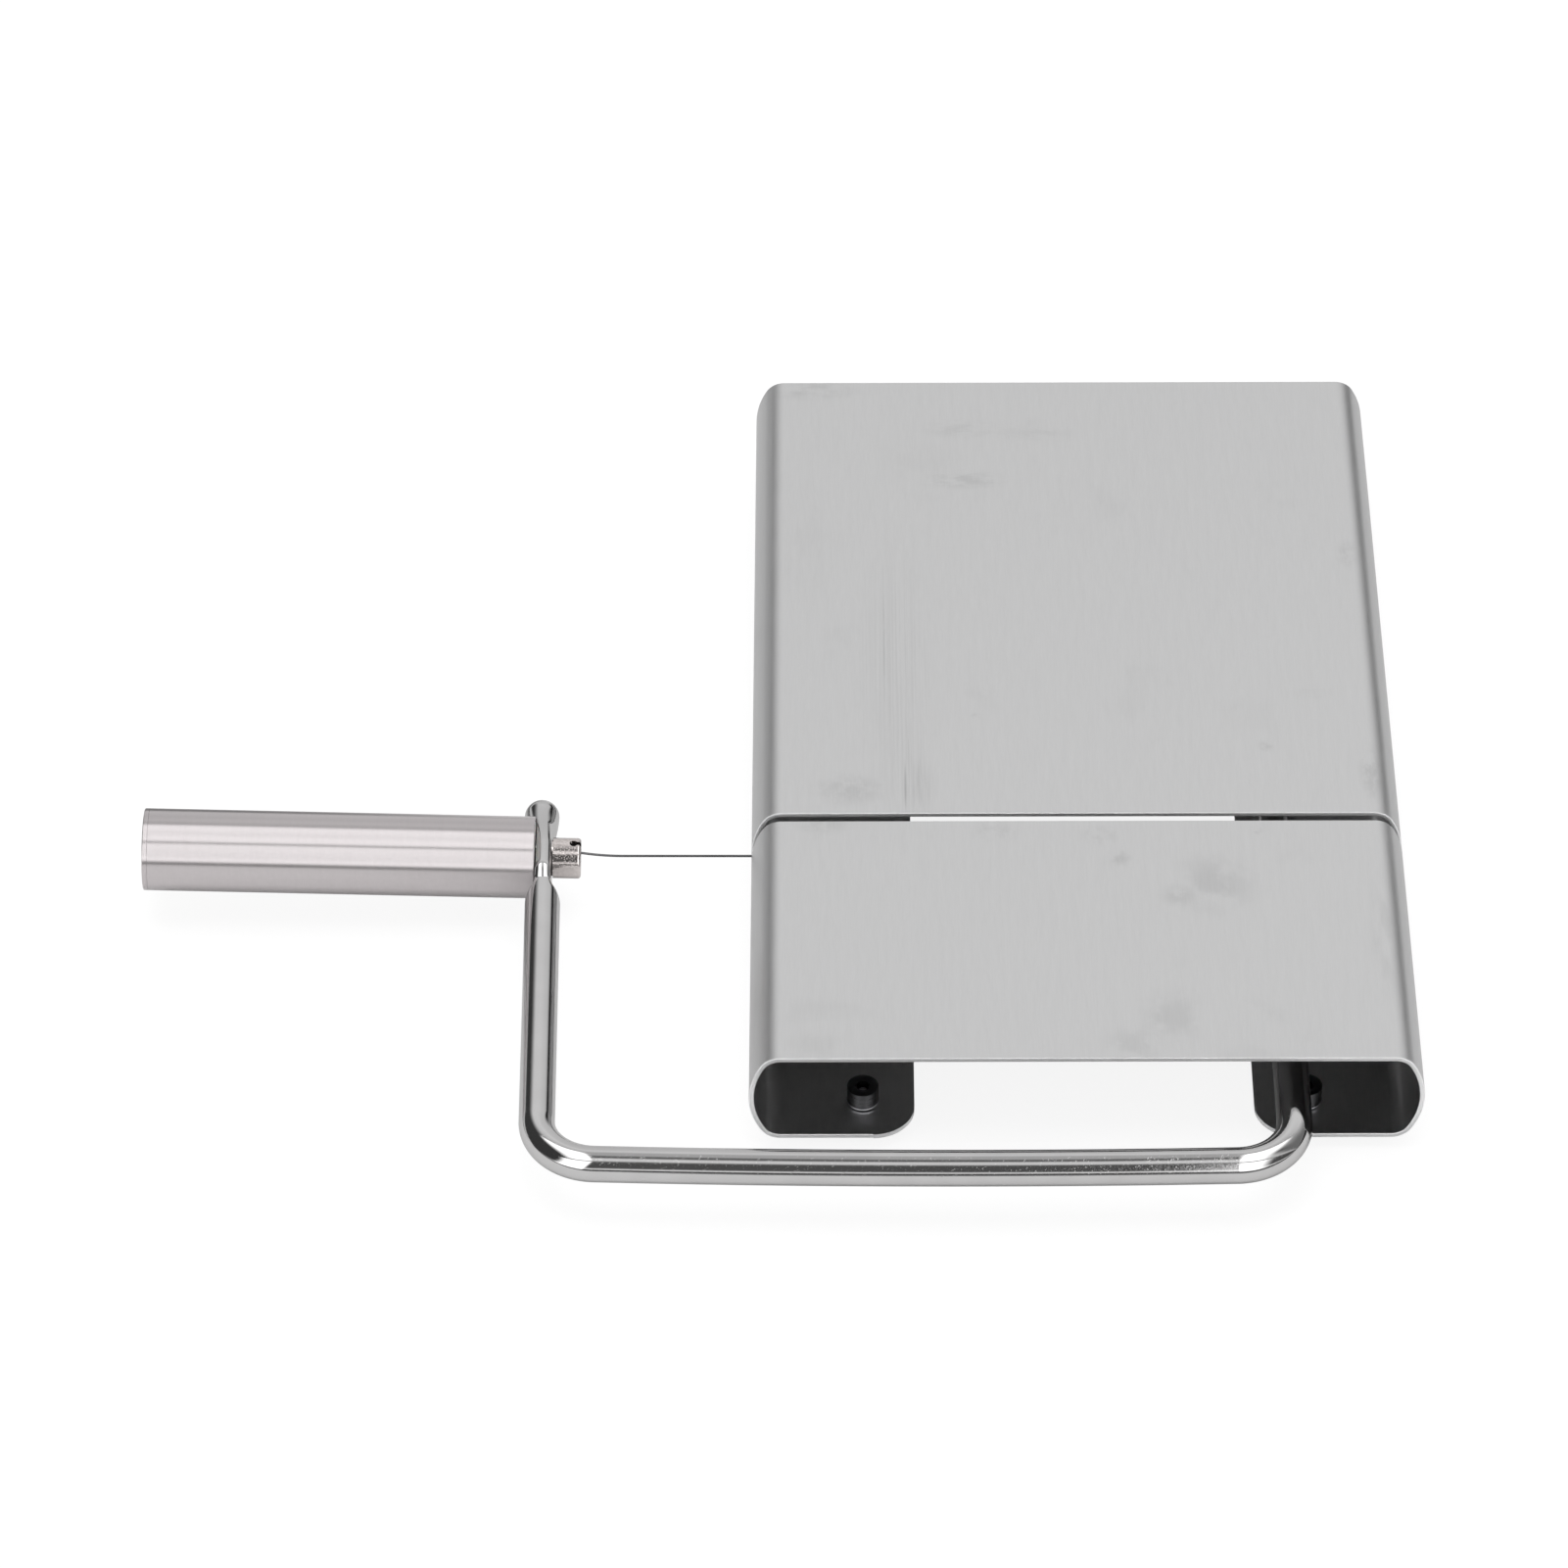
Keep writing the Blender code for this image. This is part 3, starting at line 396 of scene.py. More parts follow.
def blank_mesh(section, side_radius):
    """The flat blank, as strips of sheet between lines that fall on every bend, hole and corner."""
    lengths = lengths_along(section)
    half = lengths[-1] / 2
    bend_start = lengths[len(section) // 2 + 16] - half
    slot_radius = SLOT_WIDTH / 2
    slot_rise = slot_radius - SLOT_BELOW_MIDDLE
    slot_reach = bend_start + side_radius * (math.pi / 2 - EDGE_TURN - math.asin(slot_rise / side_radius))
    nut_place = half - (FLANGE_REACH - FOOT_FROM_SIDE)
    corner = FLANGE_CORNER_RADIUS
    gaps = [(0, slot_reach, slot_radius, SLOT_FROM_FRONT)]
    for side in (-1, 1):
        for y in (FOOT_FROM_END, BOARD_DEPTH - FOOT_FROM_END):
            gaps.append((side * nut_place, 0, NUT_HOLE_RADIUS, y))

    def half_gap(gap, s):
        centre, straight, radius, _ = gap
        past = max(0, abs(s - centre) - straight)
        return math.sqrt(max(0, radius * radius - past * past))

    def spans(s, strip_middle):
        past = max(0, abs(s) - (half - corner))
        inset = corner - math.sqrt(max(0, corner * corner - past * past))
        edges = [inset, BOARD_DEPTH - inset]
        for gap in gaps:
            if abs(strip_middle - gap[0]) < gap[1] + gap[2]:
                edges += [gap[3] - half_gap(gap, s), gap[3] + half_gap(gap, s)]
        edges = sorted(round(y, 8) for y in edges)
        return list(zip(edges[::2], edges[1::2]))

    columns = {round(s - half, 8) for s in lengths}
    for centre, straight, radius, _ in gaps:
        for step in range(17):
            reach = straight + radius * math.sin(math.pi / 2 * step / 16)
            columns |= {round(centre - reach, 8), round(centre + reach, 8)}
    for step in range(17):
        reach = half - corner * (1 - math.sin(math.pi / 2 * step / 16))
        columns |= {round(-reach, 8), round(reach, 8)}
    reaches = sorted({abs(s) for s in columns})
    reaches = [s for s, after in zip(reaches, reaches[1:] + [1]) if after - s > LEAST_COLUMN]
    columns = sorted({-s for s in reaches} | set(reaches))

    bm = bmesh.new()
    middles = [(a + b) / 2 for a, b in zip(columns, columns[1:])]
    rows = []
    for number, s in enumerate(columns):
        ys = set()
        for middle in middles[max(0, number - 1):number + 1]:
            ys |= {y for span in spans(s, middle) for y in span}
        rows.append({y: bm.verts.new((s, y, 0)) for y in sorted(ys)})
    for number, middle in enumerate(middles):
        left, right = rows[number], rows[number + 1]
        for near, far in zip(spans(columns[number], middle), spans(columns[number + 1], middle)):
            up = [right[y] for y in sorted(right) if far[0] <= y <= far[1]]
            down = [left[y] for y in sorted(left, reverse=True) if near[0] <= y <= near[1]]
            if len(up) + len(down) > 2:
                bm.faces.new(up + down)
    mesh = bpy.data.meshes.new("blank")
    bm.to_mesh(mesh)
    bm.free()
    return mesh, half


def poly_curve(name, points):
    """A path of straight pieces through (place, radius) points."""
    data = bpy.data.curves.new(name, "CURVE")
    data.dimensions = "3D"
    spline = data.splines.new("POLY")
    spline.points.add(len(points) - 1)
    for target, (place, radius) in zip(spline.points, points):
        target.co = (*place, 1)
        target.radius = radius
    return put(name, data)


def shaped(tree, given, shape):
    """Ends a shape's rule: real geometry, in its finish."""
    real = add(tree, "GeometryNodeRealizeInstances", {"Geometry": shape})[0]
    done = add(tree, "GeometryNodeSetMaterial", {"Geometry": real, "Material": given["Finish"]})[0]
    return give(tree, Geometry=done)


def bending_rule():
    """Lays each point of the flat blank onto the bent section at the same length along it."""
    tree, given = new_group("Bend the blank", "GeometryNodeTree", ("Geometry",), Geometry="Geometry",
                            Section="Object", Half_width_of_the_blank=0.11, Finish="Material")
    section = add(tree, "GeometryNodeObjectInfo", {"Object": given["Section"]})["Geometry"]
    flat = split(add(tree, "GeometryNodeInputPosition")[0])
    length = flat["X"] + given["Half width of the blank"]
    bent = split(add(tree, "GeometryNodeSampleCurve", {"Curves": section, "Length": length},
                     mode="LENGTH", use_all_curves=True)["Position"])
    place = add(tree, "ShaderNodeCombineXYZ", {"X": bent["X"], "Y": flat["Y"], "Z": bent["Z"]})[0]
    moved = add(tree, "GeometryNodeSetPosition", {"Geometry": given["Geometry"], "Position": place})[0]
    return shaped(tree, given, moved)


def mark_faces(mesh):
    """Marks the sheet's inner face, which takes a little painted shade, and its cut edges and their rims,
    which take painted light.
    """
    inside, cut, rim = (mesh.attributes.new(name, "FLOAT", "FACE").name for name in ("inside", "cut", "rim"))
    straight = BOARD_WIDTH / 2 - BOARD_HEIGHT / 2
    for number, face in enumerate(mesh.polygons):
        x = face.center.x - max(-straight, min(straight, face.center.x))
        outward = Vector((x, 0, face.center.z - BOARD_HEIGHT / 2)).normalized().dot(face.normal)
        # Rims of the cut edges, lightened in the finish as a painted highlight.
        rim_painted_light = outward > 0.2 and (abs(face.normal.y) > 0.2 or outward < 0.8)
        for name, marked in ((inside, outward < -0.5), (cut, -0.5 <= outward <= 0.2), (rim, rim_painted_light)):
            mesh.attributes[name].data[number].value = float(marked)


section_points, side_radius = sheet_section()
blank, half_blank = blank_mesh(section_points, side_radius)
section_path = poly_curve("board_section", [((x, 0, z), 1) for x, z in section_points])
plate_mesh = worked(
    "board_plate", blank,
    ("NODES", {"node_group": bending_rule(), "Section": section_path,
               "Half width of the blank": half_blank, "Finish": plate_steel}),
    ("SOLIDIFY", {"thickness": SHEET, "offset": -1, "use_even_offset": True}))
weigh_long_edges(plate_mesh)
plate_mesh = worked("board_plate", plate_mesh,
                    ("BEVEL", {"width": CUT_EDGE, "segments": 3, "limit_method": "WEIGHT",
                               "use_clamp_overlap": False}))
mark_faces(plate_mesh)
plate_mesh.transform(BOARD)
keep("board_plate", plate_mesh, "board", "brushed_stainless", "base_plate", sharp=40)


# The hinge brackets
# Two ears bent from 1.5 mm stainless strip. Each hangs from a tab that is spot welded to the underside
# of the top plate, and holds the shaft beside the slot.

HINGE_SPACING = 0.0600
PIVOT_FROM_RIGHT = 0.0254
BRACKET_SHEET = 0.0015
BRACKET_WIDTH = 0.0160
BRACKET_DROP = 0.0070
BRACKET_TAB = 0.0110
BRACKET_BEND_RADIUS = 0.0012
BRACKET_CORNER_RADIUS = 0.0065
ROD_RADIUS = 0.0035
RUNNING_GAP = 0.0001
SEAT_GAP = 0.0003
BUSH_WALL = 0.0011
PIVOT = Vector((BOARD_WIDTH / 2 - PIVOT_FROM_RIGHT, SLOT_FROM_FRONT, BOARD_HEIGHT / 2))


def plain_steel_finish(name, colour, roughness, lines, marks):
    """Bright steel with rolling lines and a little unevenness."""
    material, tree, shader = finish(name, roughness, 1.0)
    grain = placed(tree, brushed_grain, Lines_per_metre=lines)
    clouds = placed(tree, handling_marks, Marks_per_metre=marks, Coverage=0.45)["Mask"]
    tone = grain["Tone"].ranged(0.30, 0.70, 0.90, 1.05) - clouds * 0.12
    rough = grain["Tone"].ranged(0.30, 0.70, roughness - 0.04, roughness + 0.05)
    wire_up(shader, scaled(colour, tone), rough, grain["Height"], 0.3, 0.00002)
    return material


bracket_steel = plain_steel_finish("bracket_stainless", (0.56, 0.56, 0.57), 0.34, (60, 1800, 1800), 120)


def solid(outline, depth):
    """A flat outline of (x, y) points, extruded by depth along Z."""
    bm = bmesh.new()
    face = bm.faces.new([bm.verts.new((x, y, 0)) for x, y in outline])
    raised = bmesh.ops.extrude_face_region(bm, geom=[face])["geom"]
    corners = [item for item in raised if isinstance(item, bmesh.types.BMVert)]
    bmesh.ops.translate(bm, verts=corners, vec=(0, 0, depth))
    return bm


def to_mesh(name, bm, material=None, place=Matrix()):
    """A closed mesh with its faces pointing out."""
    bmesh.ops.recalc_face_normals(bm, faces=bm.faces)
    if bm.calc_volume(signed=True) < 0:
        bmesh.ops.reverse_faces(bm, faces=bm.faces)
    bm.transform(place)
    mesh = bpy.data.meshes.new(name)
    bm.to_mesh(mesh)
    bm.free()
    if material:
        mesh.materials.append(material)
    return mesh


def turned(profile, sides):
    """A body turned about Z from (radius, height) points that close on themselves or on the axis."""
    bm = bmesh.new()
    points = [bm.verts.new((radius, 0, height)) for radius, height in profile]
    edges = [bm.edges.new(pair) for pair in zip(points, points[1:])]
    if profile[0][0] > 0:
        edges.append(bm.edges.new((points[-1], points[0])))
    bmesh.ops.spin(bm, geom=points + edges, axis=(0, 0, 1), cent=(0, 0, 0), steps=sides,
                   angle=2 * math.pi, use_merge=True)
    bmesh.ops.remove_doubles(bm, verts=bm.verts, dist=0.000001)
    return bm


def lathed(name, profile, sides, material, *steps, place=Matrix()):
    """A piece turned about Z and put in its place, with the steps that work it further."""
    return worked(name, to_mesh(name, turned(profile, sides), material, place), *steps)


def along(axis):
    """A turn that lays a body made along Z onto the X or Y axis."""
    if axis == "X":
        return Matrix.Rotation(math.pi / 2, 4, "Y")
    return Matrix.Rotation(-math.pi / 2, 4, "X")


def cut(bm, place=Matrix()):
    """A cut in the shape of this tool."""
    return ("BOOLEAN", {"operation": "DIFFERENCE", "solver": "EXACT",
                        "object": put("tool", to_mesh("tool", bm, None, place))})


def drilled(radius, length, place, sides=64):
    """A round hole, centred on its place."""
    ends = [(0, -length / 2), (radius, -length / 2), (radius, length / 2), (0, length / 2)]
    return cut(turned(ends, sides), place)


def bracket_mesh(end):
    hinge_y = SLOT_FROM_FRONT + end * HINGE_SPACING / 2
    top = BOARD_HEIGHT - SHEET - SEAT_GAP
    bottom = PIVOT.z - BRACKET_DROP
    outside = BRACKET_BEND_RADIUS + BRACKET_SHEET
    height = top - bottom
    quarter = math.pi / 2
    bend = (outside, height - outside)
    outline = [(0, 0)] + arc(bend, outside, 2 * quarter, quarter, 12)
    outline += [(BRACKET_TAB, height), (BRACKET_TAB, height - BRACKET_SHEET)]
    outline += arc(bend, BRACKET_BEND_RADIUS, quarter, 2 * quarter, 12) + [(BRACKET_SHEET, 0)]
    bm = solid(outline, BRACKET_WIDTH)
    low = [edge for edge in bm.edges
           if max(vert.co.y for vert in edge.verts) < 0.000001
           and abs(edge.verts[0].co.z - edge.verts[1].co.z) < 0.000001]
    bmesh.ops.bevel(bm, geom=low, offset=BRACKET_CORNER_RADIUS, segments=16, profile=0.5, affect="EDGES")
    bm.transform(Matrix(((0, 0, 1, 0), (-end, 0, 0, 0), (0, 1, 0, 0), (0, 0, 0, 1))))
    place = Matrix.Translation((PIVOT.x - BRACKET_WIDTH / 2, hinge_y, bottom))
    hole = drilled(ROD_RADIUS + BUSH_WALL + 2 * RUNNING_GAP, 4 * BRACKET_SHEET,
                   Matrix.Translation((PIVOT.x, hinge_y, PIVOT.z)) @ along("Y"))
    mesh = worked("bracket", to_mesh("bracket", bm, bracket_steel, place), hole, bevelled(0.00012))
    mesh.transform(BOARD)
    return mesh


for side_name, end in (("front", -1), ("rear", 1)):
    keep(f"bracket_{side_name}", bracket_mesh(end), "board", "brushed_stainless",
         f"{side_name}_hinge_bracket")


# The pivot bushes
# Flanged sleeves moulded in natural nylon and pushed through the ears, so the steel shaft turns
# quietly. Their flanges face away from the slot.

BUSH_FLANGE_WIDTH = 0.0012
BUSH_FLANGE_THICKNESS = 0.0008
BUSH_PROUD = 0.0006


def nylon_finish():
    """Natural nylon: milky, slightly translucent, with a fine moulded bloom."""
    material, tree, shader = finish("natural_nylon", 0.45, 0.0, Subsurface_Weight=0.15,
                                    Subsurface_Scale=0.001)
    bloom = noise(own_place(tree), Scale=900.0, Detail=3.0)
    milky = blended(bloom, (0.70, 0.69, 0.65, 1), (0.76, 0.75, 0.72, 1))
    wire_up(shader, milky, bloom.ranged(0.3, 0.7, 0.40, 0.52), bloom, 0.2, 0.00003)
    return material


nylon = nylon_finish()


def bush_mesh(end):
    bore = ROD_RADIUS + RUNNING_GAP
    body = bore + BUSH_WALL
    flange = body + BUSH_FLANGE_WIDTH
    outer = SEAT_GAP + BUSH_FLANGE_THICKNESS
    inner = -(BRACKET_SHEET + BUSH_PROUD)
    bm = turned([(bore, outer), (bore, inner), (body, inner), (body, SEAT_GAP), (flange, SEAT_GAP),
                 (flange, outer)], 64)
    bm.transform(along("Y") if end > 0 else Matrix.Rotation(math.pi / 2, 4, "X"))
    place = Matrix.Translation((PIVOT.x, SLOT_FROM_FRONT + end * HINGE_SPACING / 2, PIVOT.z))
    return worked("bush", to_mesh("bush", bm, nylon, BOARD @ place), bevelled(0.00015))


for side_name, end in (("front", -1), ("rear", 1)):
    keep(f"bush_{side_name}", bush_mesh(end), "board", "white_nylon", f"{side_name}_pivot_bush")


# The bow
# One 7 mm stainless rod, polished bright and bent cold: the shaft under the board, the front run and
# the left arm. The arm's end is pinched flat to a neck for the bolt, and its tip is rounded.

BEND_RADIUS = 0.0117
FRONT_RUN_AHEAD = 0.0191
RUN_RADIUS = 2.0300
RUN_LEAD = math.radians(1.4)
NECK_FROM_LEFT = 0.0416
ARM_SPLAY = math.radians(0.75)
SHAFT_END_CHAMFER = 0.0006
SHAFT_BEYOND_CLIP = 0.0030
CLIP_THICKNESS = 0.0008
CLIP_GROOVE_DEPTH = 0.0006
NECK_THICKNESS = 0.0032
NECK_FRONT = 0.0094
NECK_BACK = 0.0064
SHOULDER_LENGTH = 0.0044
SWELL_LENGTH = 0.00575
NECK_RISE = 0.0012
RISE_LENGTH = 0.0036
TIP_SHIFT = 0.0005
FLANK_ROUNDING = 0.0009
HANDLE_SEAT_DEPTH = 0.00015
HANDLE_RADIUS = 0.0082
TENSION_TILT = math.radians(1.8)
BOLT_SHANK_RADIUS = 0.0019
WIRE_HOLE_RADIUS = 0.0005
HOLE_GAP = 0.0002
HANDLE_SEAT = NECK_THICKNESS / 2 - HANDLE_SEAT_DEPTH

BOW = BOARD @ Matrix.Translation(PIVOT)
NECK = Vector((-BOARD_WIDTH / 2 - NECK_FROM_LEFT, SLOT_FROM_FRONT, BOARD_HEIGHT / 2))
TENSION = BOARD @ Matrix.Translation(NECK) @ Matrix.Rotation(TENSION_TILT, 4, "Y")


def hairline_group():
    """Short fine hairlines in one direction, few and far between: a mask."""
    group, given = new_group("Hairlines", "ShaderNodeTree", ("Mask",), Lines_per_metre=(6000, 500, 6000),
                             Turn=(0, 0, 0), Coverage=0.5)
    place = add(group, "ShaderNodeVectorRotate", {"Vector": own_place(group), "Rotation": given["Turn"]},
                rotation_type="EULER_XYZ")[0]
    lines = noise(place * given["Lines per metre"], Scale=1.0, Detail=1.0)
    start = 0.80 - given["Coverage"] * 0.2
    return give(group, Mask=lines.ranged(start, start + 0.04))


hairlines = hairline_group()


def bright_rod_finish():
    """Polished stainless: nearly a mirror, with a fine grain and a few hairlines from use."""
    material, tree, shader = finish("polished_stainless_rod", 0.05, 1.0, Specular_Tint=(0.75, 0.75, 0.75, 1))
    waver = noise(own_place(tree), Scale=130.0, Detail=1.0)
    fine = noise(own_place(tree), Scale=2300.0, Detail=3.0, Roughness=0.7)
    clouds = placed(tree, handling_marks, Marks_per_metre=110.0, Coverage=0.30)["Mask"]
    lines = strongest(*[
        placed(tree, hairlines, Turn=turn, Lines_per_metre=spread, Coverage=0.48)["Mask"]
        for turn, spread in (((0, 0, 0.45), (3000, 330, 3000)), ((0.3, 0, -0.6), (2600, 420, 2600)),
                             ((0, 0.4, 1.35), (3200, 300, 3200)))])
    rough = fine.ranged(0.35, 0.7, 0.03, 0.11) + clouds * 0.06 + lines * 0.10
    tone = scaled((0.545, 0.540, 0.540), waver.ranged(0.3, 0.7, 0.97, 1.03))
    wire_up(shader, tone, rough, waver * 2.0 + fine - lines, 0.20, 0.00001)
    return material


rod_steel = bright_rod_finish()


def drawing_rule():
    """Draws a round rod along a path, then squeezes its neck from both sides, so it also stands taller."""
    tree, given = new_group(
        "Draw and squeeze the rod", "GeometryNodeTree", ("Geometry",), Geometry="Geometry", Path="Object",
        Sides=48, Radius=ROD_RADIUS, Neck_centre=(0, 0, 0), Arm_direction=(0, 1, 0),
        Neck_thickness=NECK_THICKNESS, Neck_front=NECK_FRONT, Neck_back=NECK_BACK,
        Shoulder_length=SHOULDER_LENGTH, Swell_length=SWELL_LENGTH, Neck_rise=NECK_RISE,
        Rise_length=RISE_LENGTH, Tip_shift=TIP_SHIFT, Flank_rounding=FLANK_ROUNDING, Finish="Material")
    path = add(tree, "GeometryNodeObjectInfo", {"Object": given["Path"]})["Geometry"]
    upright = add(tree, "GeometryNodeSetCurveNormal", {"Curve": path}, mode="Z_UP")[0]
    ring = add(tree, "GeometryNodeCurvePrimitiveCircle", {"Resolution": given["Sides"], "Radius": 1.0})[0]
    rod = add(tree, "GeometryNodeCurveToMesh",
              {"Curve": upright, "Profile Curve": ring, "Fill Caps": True,
               "Scale": add(tree, "GeometryNodeInputRadius")[0]})[0]

    off = add(tree, "GeometryNodeInputPosition")[0] - given["Neck centre"]
    sideways = maths("CROSS_PRODUCT", given["Arm direction"], (0, 0, 1))
    forward = maths("DOT_PRODUCT", off, given["Arm direction"])
    across = maths("DOT_PRODUCT", off, sideways)
    radius, neck_back = given["Radius"], given["Neck back"]
    thin = given["Neck thickness"] / 2.0
    neck_start = given["Neck front"] * -1.0
    shoulder_start = neck_start - given["Shoulder length"]
    shoulder = forward.eased(shoulder_start, neck_start, radius, thin)
    swell_end = neck_back + given["Swell length"]
    left_of_swell = forward.ranged(neck_back, swell_end, 1.0, 0.0)
    turn = maths("ARCSINE", left_of_swell * maths("SINE", maths("ARCCOSINE", thin / radius)))
    swell = radius * maths("COSINE", turn) * maths("GREATER_THAN", forward, neck_back)
    squeezed = forward.eased(shoulder_start, neck_start) * left_of_swell.eased(0.0, 0.6)
    thinned = maths("SMOOTH_MIN", maths("ABSOLUTE", across), strongest(shoulder, swell),
                    given["Flank rounding"] * squeezed) * maths("SIGN", across)
    to_tip = forward.eased(0.0, swell_end)
    moved = thinned - across - given["Tip shift"] * to_tip
    climb = forward.ranged(neck_start, neck_start + given["Rise length"]) * (math.pi / 2)
    rise = maths("SINE", climb) * (1.0 - to_tip)
    raised = split(off)["Z"] * (rise * given["Neck rise"] / radius)
    on_arm = (maths("GREATER_THAN", forward, shoulder_start)
              * maths("LESS_THAN", maths("ABSOLUTE", across), radius * 2.0))
    lift = add(tree, "ShaderNodeCombineXYZ", {"Z": raised * on_arm})[0]
    offset = scaled(sideways, moved * on_arm) + lift
    return shaped(tree, given, add(tree, "GeometryNodeSetPosition", {"Geometry": rod, "Offset": offset})[0])


def clip_offset(end):
    """Middle of a clip's groove along the shaft, from the wire's plane."""
    return end * (HINGE_SPACING / 2 + 2 * SEAT_GAP + BUSH_FLANGE_THICKNESS + CLIP_THICKNESS / 2)


def rod_path():
    """Places and radii along the bow, from the pivot, with the shaft's clip grooves and rounded tip."""
    r = ROD_RADIUS
    groove = r - CLIP_GROOVE_DEPTH
    half_groove = CLIP_THICKNESS / 2 + RUNNING_GAP
    step_off = 0.00002
    tail = clip_offset(1) + half_groove + SHAFT_BEYOND_CLIP
    points = [((0, tail, 0), r - SHAFT_END_CHAMFER), ((0, tail - SHAFT_END_CHAMFER, 0), r)]
    for end in (1, -1):
        middle = clip_offset(end)
        points += [((0, middle + half_groove + step_off, 0), r), ((0, middle + half_groove, 0), groove),
                   ((0, middle - half_groove, 0), groove), ((0, middle - half_groove - step_off, 0), r)]
    reach = RUN_RADIUS - BEND_RADIUS
    run_start = math.pi / 2 - RUN_LEAD
    arm_start = math.pi - ARM_SPLAY
    neck = Vector((NECK.x - PIVOT.x, 0, 0))
    run_centre = Vector((-BEND_RADIUS - reach * math.cos(run_start),
                         RUN_RADIUS - SLOT_FROM_FRONT - FRONT_RUN_AHEAD, 0))
    inward = Vector((math.cos(ARM_SPLAY), math.sin(ARM_SPLAY), 0))
    run_end = math.acos((neck.dot(inward) + BEND_RADIUS - run_centre.dot(inward)) / reach) - ARM_SPLAY
    for at, radius, start, end, steps in ((run_start, BEND_RADIUS, 0, run_start, 48),
                                          (None, RUN_RADIUS, run_start, run_end, 24),
                                          (run_end, BEND_RADIUS, run_end, arm_start, 48)):
        centre = run_centre
        if at is not None:
            centre = run_centre + Vector((reach * math.cos(at), -reach * math.sin(at), 0))
        for step in range(steps + 1):
            turn = start + (end - start) * (step + 0.01) / (steps + 0.02)
            points.append((centre + Vector((radius * math.cos(turn), -radius * math.sin(turn), 0)), r))
    ahead = Vector((-math.sin(ARM_SPLAY), math.cos(ARM_SPLAY), 0))
    start = -NECK_FRONT - SHOULDER_LENGTH
    swell_end = NECK_BACK + SWELL_LENGTH
    steps = 130
    for step in range(steps + 1):
        points.append((neck + ahead * (start + (swell_end - start) * step / steps), r))
    for step in range(1, 20):
        turn = math.pi / 2 * step / 20
        points.append((neck + ahead * (swell_end + r * math.sin(turn)), r * math.cos(turn)))
    return points, neck, ahead


rod_points, neck_place, arm_ahead = rod_path()
draw_rod = drawing_rule()
bow_tilt = Matrix.Translation(neck_place) @ Matrix.Rotation(TENSION_TILT, 4, "Y")
seat_depth = 2 * ROD_RADIUS
rod_mesh = worked(
    "bow_rod", bpy.data.meshes.new("rod_start"),
    ("NODES", {"node_group": draw_rod, "Path": poly_curve("rod_path", rod_points),
               "Neck centre": neck_place, "Arm direction": arm_ahead, "Finish": rod_steel}),
    drilled(WIRE_HOLE_RADIUS, 4 * ROD_RADIUS, along("X"), 32),
    drilled(BOLT_SHANK_RADIUS + HOLE_GAP, 4 * ROD_RADIUS, bow_tilt @ along("X"), 48),
    drilled(HANDLE_RADIUS + SEAT_GAP, seat_depth,
            bow_tilt @ Matrix.Translation((-HANDLE_SEAT - seat_depth / 2, 0, 0)) @ along("X"), 96))
rod_mesh.transform(BOW)
keep("bow", rod_mesh, "bow", "polished_stainless", "bow_rod", sharp=32)


# The retaining clips
# E-clips stamped from spring steel. They snap into grooves in the shaft outside each bush, and stop
# the bow sliding out.

clip_steel = plain_steel_finish("spring_steel", (0.34, 0.34, 0.36), 0.36, (900, 900, 900), 200)
for side_name in ("front", "rear"):
    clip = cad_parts[f"{side_name}_retaining_clip"]
    clip.data.materials.clear()
    clip.data.materials.append(clip_steel)


# The feet
# Each is a round flanged nut that stands in a hole of the bottom flange, a moulded rubber foot below
# the flange, and a short cross-head screw that comes up through the rubber into the nut.

FOOT_HEIGHT = 0.0030
FOOT_RADIUS = 0.0050
FOOT_TAPER = 0.0004
FOOT_ROUND = 0.0004
NUT_RADIUS = 0.00305
NUT_HEIGHT = 0.0037
NUT_RIM_RADIUS = 0.00320
NUT_RIM_HEIGHT = 0.00030
NUT_SPIGOT_RADIUS = 0.0023
NUT_BORE_RADIUS = 0.00125
SCREW_SHANK_RADIUS = 0.0011
SCREW_HEAD_RADIUS = 0.0024
SCREW_HEAD_HEIGHT = 0.0009
SCREW_RECESS = 0.0004
SCREW_SHORT_OF_TOP = 0.0012
SCREW_PITCH = 0.00045
SCREW_THREAD_DEPTH = 0.00020
CROSS_LENGTH = 0.0023
CROSS_WIDTH = 0.00034
CROSS_DEPTH = 0.0005
CROWN_SHARE = 0.55
SCREW_POINT = 0.0001
SCREW_THREAD_START = 0.0008
SCREW_THREAD_SHORT = 0.0012
PAST_SURFACE = 0.0002
BORE_EDGE = 0.00001
BORE_SHADE = 0.10
RIM_FADE = 0.00003
RIM_BRIGHTNESS = 9.0


def foot_nut_finish():
    """Blackened steel nut, with its base left bright and painted shade in its bore."""
    material, tree, shader = finish("turned_steel_nut", 0.30, 1.0)
    grain = placed(tree, brushed_grain, Lines_per_metre=(400, 400, 5200))
    rim_top = board_low.z + SHEET + SEAT_GAP + NUT_RIM_HEIGHT
    bright = split(own_place(tree))["Z"].ranged(rim_top, rim_top + RIM_FADE, RIM_BRIGHTNESS, 1.0)
    # Painted shade: the bore's faces are darkened to a tenth of the nut's colour.
    bright = bright * mark_on(tree, "bore").ranged(0, 1, 1.0, BORE_SHADE)
    tone = scaled((0.070, 0.070, 0.073), grain["Tone"].ranged(0.3, 0.7, 0.75, 1.2) * bright)
    wire_up(shader, tone, grain["Tone"].ranged(0.3, 0.7, 0.24, 0.38), grain["Height"], 0.3, 0.00002)
    return material


